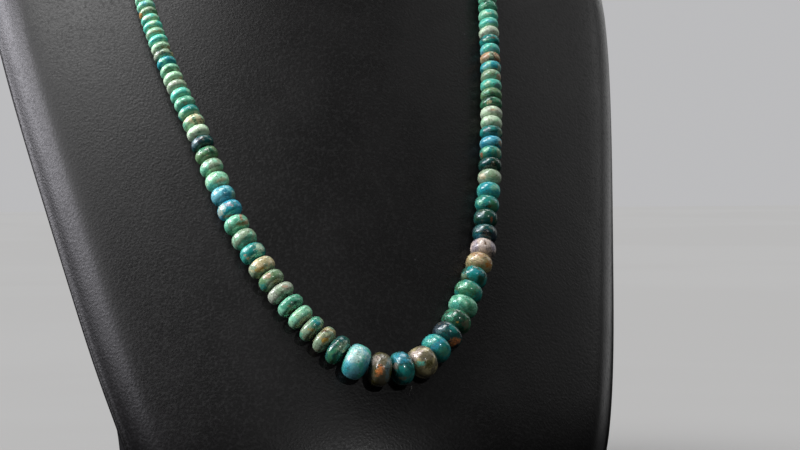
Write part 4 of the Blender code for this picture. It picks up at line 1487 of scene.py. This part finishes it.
@dataclass
class RondelleCutter:
    """Cuts drilled rondelles: turned on their axis, and then finished a little unevenly by hand."""

    profile_steps: int
    turn_steps: int
    camera: PhotoCamera
    bore: float = 0.0008
    bore_edge: float = 0.00018
    squareness: float = 2.9
    closing: float = 0.00030
    ovalness: float = 0.022
    lobes: float = 0.012
    wedge: float = 0.055
    lumps: float = 0.022
    lump_waves: float = 1.4
    flats: float = 0.6
    flat_waves: float = 1.1
    noise_reach: float = 40.0
    tilt: float = math.radians(2.6)
    seed_reach: float = 3.0

    def blank(self) -> bmesh.types.BMesh:
        """Starts an empty mesh with the colour layers that the stone is written into.

        Returns:
            The mesh.
        """
        bm = bmesh.new()
        for name in ("body", "clouds", *(f"spot_{number}" for number in range(1, SPOTS + 1))):
            bm.verts.layers.float_color.new(name)
        return bm

    def profile(self, radius: float, thickness: float) -> list[tuple[float, float]]:
        """The closed outline that is turned: a rounded square with the bore's wall inside.

        Args:
            radius: the bead's radius.
            thickness: its thickness.

        Returns:
            Points across and along the axis.
        """
        half = thickness / 2
        power = 2 / self.squareness
        first = math.asin(((self.bore + self.bore_edge) / radius) ** (1 / power))
        points = []
        for step in range(self.profile_steps + 1):
            turn = first + (math.pi / 2 - first) * step / self.profile_steps
            points.append((radius * math.sin(turn) ** power, half * max(math.cos(turn), 0.0) ** power))
        widest = points.pop()
        points.insert(0, (self.bore, points[0][1] - self.bore_edge))
        return points + [(widest[0], 0.0)] + [(across, -along) for across, along in reversed(points)]

    def shape(self, point: Vector, radius: float, swings: list[float]) -> Vector:
        """Moves one point of the turning to where hand finishing leaves it.

        Args:
            point: the point in the bead's own frame.
            radius: the bead's radius.
            swings: five numbers from 0 to 1 that are this bead's own.

        Returns:
            The moved point.
        """
        away = math.hypot(point.x, point.y)
        outside = max(away - self.bore, 0.0) / (radius - self.bore)
        turn = math.atan2(point.y, point.x)
        swell = self.ovalness * math.cos(2 * (turn - math.tau * swings[0]))
        swell += self.lobes * math.cos(3 * (turn - math.tau * swings[1]))
        place = point / radius + Vector((swings[2], swings[3], swings[4])) * self.noise_reach
        swell += self.lumps * noise.noise(place * self.lump_waves)
        scale = 1 + swell * outside
        lean = self.wedge * math.cos(turn - math.tau * swings[2]) * outside
        flat = self.wedge * self.flats * noise.noise(place * self.flat_waves)
        return Vector((point.x * scale, point.y * scale, point.z * (1 + (lean + flat) * outside)))

    def cut(
        self, bm: bmesh.types.BMesh, bead: Bead, along: Vector, stone: Stone, chance: random.Random,
    ) -> None:
        """Makes one finished bead, with its stone in its vertices.

        Args:
            bm: the empty mesh that it is made in.
            bead: its place and sizes.
            along: the string's direction at it.
            stone: its colours.
            chance: where its own unevenness comes from.
        """
        turn_outline(bm, self.profile(bead.radius, bead.thickness + self.closing), self.turn_steps)
        swings = [chance.random() for _ in range(5)]
        right = math.cos(math.tau * chance.random())
        tilt_axis = Vector((right, math.sin(math.tau * chance.random()), 0)).normalized()
        tilted = Matrix.Rotation(self.tilt * chance.uniform(-1, 1), 4, tilt_axis)
        stand = frame_at(bead.centre, along, bead.outward) @ tilted
        for vertex in bm.verts:
            vertex.co = stand @ self.shape(vertex.co, bead.radius, swings)
        self.colour(bm, bead, stone, chance.uniform(0.0, self.seed_reach))

    def colour(self, bm: bmesh.types.BMesh, bead: Bead, stone: Stone, seed: float) -> None:
        """Writes a stone into a bead's vertices.

        Args:
            bm: the bead's mesh.
            bead: its place and sizes.
            stone: its colours.
            seed: how far its pattern is moved from its neighbours'.
        """
        layers = bm.verts.layers.float_color
        body = layers["body"]
        clouds = layers["clouds"]
        spots = [layers[f"spot_{number}"] for number in range(1, SPOTS + 1)]
        body_colour = (*stone.body.linear, seed)
        cloud_colour = (*stone.clouds.linear, stone.veins)
        picture = Matrix((self.camera.right, self.camera.up, self.camera.back))
        for vertex in bm.verts:
            vertex[body] = body_colour
            vertex[clouds] = cloud_colour
        seen = [picture @ (vertex.co - bead.centre) / bead.radius for vertex in bm.verts]
        for number, spot in enumerate(spots):
            patch = stone.patches[number] if number < len(stone.patches) else NO_PATCH
            tone = patch.tone.linear
            facing = [place for place in seen if place.z > 0]
            depth = min(facing, key=lambda place: math.hypot(place.x - patch.across, place.y - patch.up)).z
            turned = Matrix.Rotation(math.radians(-patch.turn), 3, "Z")
            for vertex, place in zip(bm.verts, seen):
                away = turned @ (place - Vector((patch.across, patch.up, depth)))
                inward = away.z / (2 * max(patch.long, patch.wide))
                reach = math.sqrt((away.x / patch.long) ** 2 + (away.y / patch.wide) ** 2 + inward ** 2)
                vertex[spot] = (*tone, max(1.0 - reach, NO_FIELD))


def closed_mesh(bm: bmesh.types.BMesh, name: str, sharp_angle: float) -> bpy.types.Mesh:
    """Turns a bmesh into a smooth mesh whose faces point outwards.

    Args:
        bm: the bmesh, which is freed.
        name: the mesh's name.
        sharp_angle: the angle in degrees above which an edge stays sharp.

    Returns:
        The mesh.
    """
    bmesh.ops.remove_doubles(bm, verts=bm.verts, dist=WELD_DISTANCE)
    bmesh.ops.recalc_face_normals(bm, faces=bm.faces)
    mesh = bpy.data.meshes.new(name)
    bm.to_mesh(mesh)
    bm.free()
    mesh.shade_smooth()
    mesh.set_sharp_from_angle(angle=math.radians(sharp_angle))
    return mesh


# Half of the barrel clasp's outline, in shares of its radius and of half its length.
CLASP_PROFILE = (
    (0.20, 1.00), (0.40, 1.00), (0.46, 0.985), (0.48, 0.95), (0.48, 0.91), (0.56, 0.895), (0.70, 0.86),
    (0.83, 0.78), (0.92, 0.66), (0.98, 0.50), (1.00, 0.34), (1.00, 0.075), (0.985, 0.055), (0.93, 0.045),
    (0.93, 0.0),
)


@dataclass
class Necklace:
    """The string: its rondelles, the thread through them and the clasp behind the neck."""

    route: StringRoute
    camera: PhotoCamera
    effects: SurfaceEffects
    main_beads_left: int = 20
    main_beads_right: int = 19
    sharp_angle: float = 50.0
    thread_radius: float = 0.00045
    thread_roundness: int = 2
    clasp_steps: int = 48
    clasp_sharp_angle: float = 35.0
    seed: int = 1871
    beads: list[Bead] = field(default_factory=list)
    lowest: int = 0

    def __post_init__(self) -> None:
        """Sets the beads down on the bust."""
        self.beads, self.lowest = self.route.whole_string()
        LOG.info("%d beads, the lowest is number %d", len(self.beads), self.lowest)

    def along(self, index: int) -> Vector:
        """Finds the string's direction.

        Args:
            index: which bead of the string it is wanted at.

        Returns:
            The way from the bead before it to the bead after it.
        """
        before = self.beads[max(index - 1, 0)]
        after = self.beads[min(index + 1, len(self.beads) - 1)]
        return after.centre - before.centre

    def axis(self, index: int) -> Vector:
        """Finds a bead's own axis: along the string, and out of the bust where the beads lean.

        Args:
            index: which bead of the string.

        Returns:
            The axis.
        """
        beads_on = index - self.lowest
        lean = 0.0
        for here, there in zip(LEANS, LEANS[1:]):
            if here.beads_on <= beads_on <= there.beads_on:
                on_from_here = (there.share - here.share) * (beads_on - here.beads_on)
                lean = here.share + on_from_here / (there.beads_on - here.beads_on)
        return self.along(index).normalized() + self.beads[index].outward * lean

    def stone(self, index: int) -> Stone:
        """Looks up a bead's stone: in the chart where the camera sees it.

        Args:
            index: which bead of the string.

        Returns:
            The stone.
        """
        place = index - self.lowest + MIDDLE_OF_CHART
        if 0 <= place < len(SEEN_STONES):
            return SEEN_STONES[place]
        return UNSEEN_STONES[index % len(UNSEEN_STONES)]

    def run(self, name: str, cutter: RondelleCutter, indexes: range) -> bpy.types.Mesh:
        """Cuts a run of beads into one mesh.

        Args:
            name: the mesh's name.
            cutter: how finely they are cut.
            indexes: which beads of the string.

        Returns:
            The mesh.
        """
        run = cutter.blank()
        for index in indexes:
            bm = cutter.blank()
            chance = random.Random(self.seed + index)
            cutter.cut(bm, self.beads[index], self.axis(index), self.stone(index), chance)
            run.from_mesh(closed_mesh(bm, f"cut_{index}", self.sharp_angle))
            bpy.data.meshes.remove(bpy.data.meshes[f"cut_{index}"])
        mesh = bpy.data.meshes.new(name)
        run.to_mesh(mesh)
        run.free()
        return mesh

    def string_beads(self) -> None:
        """Cuts the main beads one by one, and the two strands above them."""
        turquoise = TurquoiseFinish().build(self.effects)
        fine = RondelleCutter(profile_steps=11, turn_steps=44, camera=self.camera, squareness=2.65,
                              closing=0.00020)
        coarse = RondelleCutter(profile_steps=8, turn_steps=28, camera=self.camera)
        first = self.lowest - self.main_beads_left
        last = self.lowest + self.main_beads_right
        for number, index in enumerate(range(first, last + 1), start=1):
            name = f"rondelle_{number:02d}"
            node = f"bead_{number:02d}"
            self.check_place(node, self.beads[index])
            mesh = self.run(name, fine, range(index, index + 1))
            add_piece(name, mesh, turquoise, [node])
        left = self.run("left_strand", coarse, range(0, first))
        add_piece("left_strand", left, turquoise, ["string_left"])
        right = self.run("right_strand", coarse, range(last + 1, len(self.beads)))
        add_piece("right_strand", right, turquoise, ["string_right"])

    def check_place(self, node: str, bead: Bead) -> None:
        """Warns where a bead would leave its CAD node.

        Args:
            node: the node's name.
            bead: the bead that stands for it.
        """
        low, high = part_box(node)
        away = ((low + high) / 2 - bead.centre).length
        if away > PLACE_LIMIT:
            LOG.warning("%s lies %.3f mm from its node", node, away / MILLIMETRE)

    def thread_route(self) -> list[Vector]:
        """Lists the thread's points: at both ends of every bore, and at the clasp.

        Returns:
            The points, from one end of the clasp round to the other.
        """
        clasp_centre, _ = self.route.lifted(0, self.route.clasp_diameter / 2)
        along = (self.beads[-1].centre - self.beads[0].centre).normalized()
        reach = along * (self.route.clasp_length / 2 - MILLIMETRE)
        points = [clasp_centre - reach]
        for index, bead in enumerate(self.beads):
            half_bore = self.along(index).normalized() * bead.thickness / 2
            points += [bead.centre - half_bore, bead.centre + half_bore]
        points.append(clasp_centre + reach)
        return points

    def draw_thread(self) -> None:
        """Draws the thread through all the beads and into both ends of the clasp."""
        curve = bpy.data.curves.new("beading_thread", "CURVE")
        curve.dimensions = "3D"
        curve.bevel_depth = self.thread_radius
        curve.bevel_resolution = self.thread_roundness
        curve.use_fill_caps = True
        points = self.thread_route()
        spline = curve.splines.new("POLY")
        spline.points.add(len(points) - 1)
        for point, place in zip(spline.points, points):
            point.co = (*place, 1.0)
        curve.materials.append(WAXED_THREAD.build(self.effects))
        thread = bpy.data.objects.new("beading_thread", curve)
        bpy.context.scene.collection.objects.link(thread)
        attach(thread, BODY)
        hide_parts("thread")
        LOG.info("beading_thread runs through %d beads", len(self.beads))

    def turn_clasp(self) -> None:
        """Turns the plain barrel clasp, with a groove where its halves meet and a collar at each end."""
        radius = self.route.clasp_diameter / 2
        half = self.route.clasp_length / 2
        outline = [(share * radius, up * half) for share, up in CLASP_PROFILE]
        outline += [(across, -up) for across, up in reversed(outline[:-1])]
        bm = bmesh.new()
        turn_outline(bm, outline, self.clasp_steps)
        centre, outward = self.route.lifted(0, radius)
        stand = frame_at(centre, self.beads[-1].centre - self.beads[0].centre, outward)
        bmesh.ops.transform(bm, matrix=stand, verts=bm.verts)
        mesh = closed_mesh(bm, "barrel_clasp", self.clasp_sharp_angle)
        add_piece("barrel_clasp", mesh, WORN_SILVER.build(self.effects), ["clasp"])

    def build(self) -> None:
        """Makes the whole string."""
        self.string_beads()
        self.draw_thread()
        self.turn_clasp()


@dataclass
class DisplayBust:
    """The neck bust: the frame's own form, smoothed and covered in leatherette."""

    effects: SurfaceEffects
    weld: float = 1e-6
    midline: float = 1e-5
    flattest_fold: float = math.radians(60)
    grid_pull: float = 2.0
    smoothing: int = 2
    fitting_rounds: int = 1
    foot_height: float = 1e-5

    def fit(self, bust: bpy.types.Object) -> None:
        """Moves the smoothed mesh's points outwards until it passes through the node's own.

        Args:
            bust: the piece with its smoothing.
        """
        points = bust.data.vertices
        wanted = [point.co.copy() for point in points]
        for _ in range(self.fitting_rounds):
            smoothed = bust.evaluated_get(bpy.context.evaluated_depsgraph_get())
            reached = [smoothed.data.vertices[index].co.copy() for index in range(len(points))]
            for point, goal, now in zip(points, wanted, reached):
                point.co += goal - now
            bust.data.update()

    def build(self) -> None:
        """Smooths a merged copy of the node, with the same faces on both sides, and covers it."""
        bm = bmesh.new()
        bm.from_mesh(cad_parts["neck_bust"].data)
        bmesh.ops.remove_doubles(bm, verts=bm.verts, dist=self.weld)
        bmesh.ops.symmetrize(bm, input=[*bm.verts, *bm.edges, *bm.faces], direction="X", dist=self.midline)
        bmesh.ops.join_triangles(bm, faces=bm.faces, angle_face_threshold=self.flattest_fold,
                                 angle_shape_threshold=math.pi, topology_influence=self.grid_pull)
        crease = bm.edges.layers.float.get("crease_edge") or bm.edges.layers.float.new("crease_edge")
        for edge in bm.edges:
            if all(vertex.co.z < self.foot_height for vertex in edge.verts):
                edge[crease] = 1.0
        left = sum(len(face.verts) == 3 for face in bm.faces)
        LOG.info("the bust has %d faces, %d of them triangles", len(bm.faces), left)
        mesh = bpy.data.meshes.new("display_bust")
        bm.to_mesh(mesh)
        bm.free()
        mesh.materials.clear()
        mesh.shade_smooth()
        finish = LeatheretteFinish().build(self.effects)
        bust = add_piece("display_bust", mesh, finish, ["neck_bust"])
        smooth = bust.modifiers.new("smooth", "SUBSURF")
        smooth.levels = self.smoothing
        smooth.render_levels = self.smoothing
        self.fit(bust)


def bust_surface() -> BVHTree:
    """Takes the CAD bust as something that lines can be cast at.

    Returns:
        Its faces.
    """
    bm = bmesh.new()
    bm.from_mesh(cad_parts["neck_bust"].data)
    surface = BVHTree.FromBMesh(bm)
    bm.free()
    return surface


def main() -> None:
    """Builds the studio, the bust and the necklace."""
    logging.basicConfig(level=logging.INFO, format="%(name)s: %(message)s")
    effects = SurfaceEffects()
    camera = PhotoCamera()
    camera.place()
    Studio().build(camera, effects)
    DisplayBust(effects).build()
    low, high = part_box("neck_bust")
    size = high - low
    route = StringRoute(bust_surface(), size.x, size.y, size.z)
    Necklace(route, camera, effects).build()


if __name__ == "__main__":
    main()
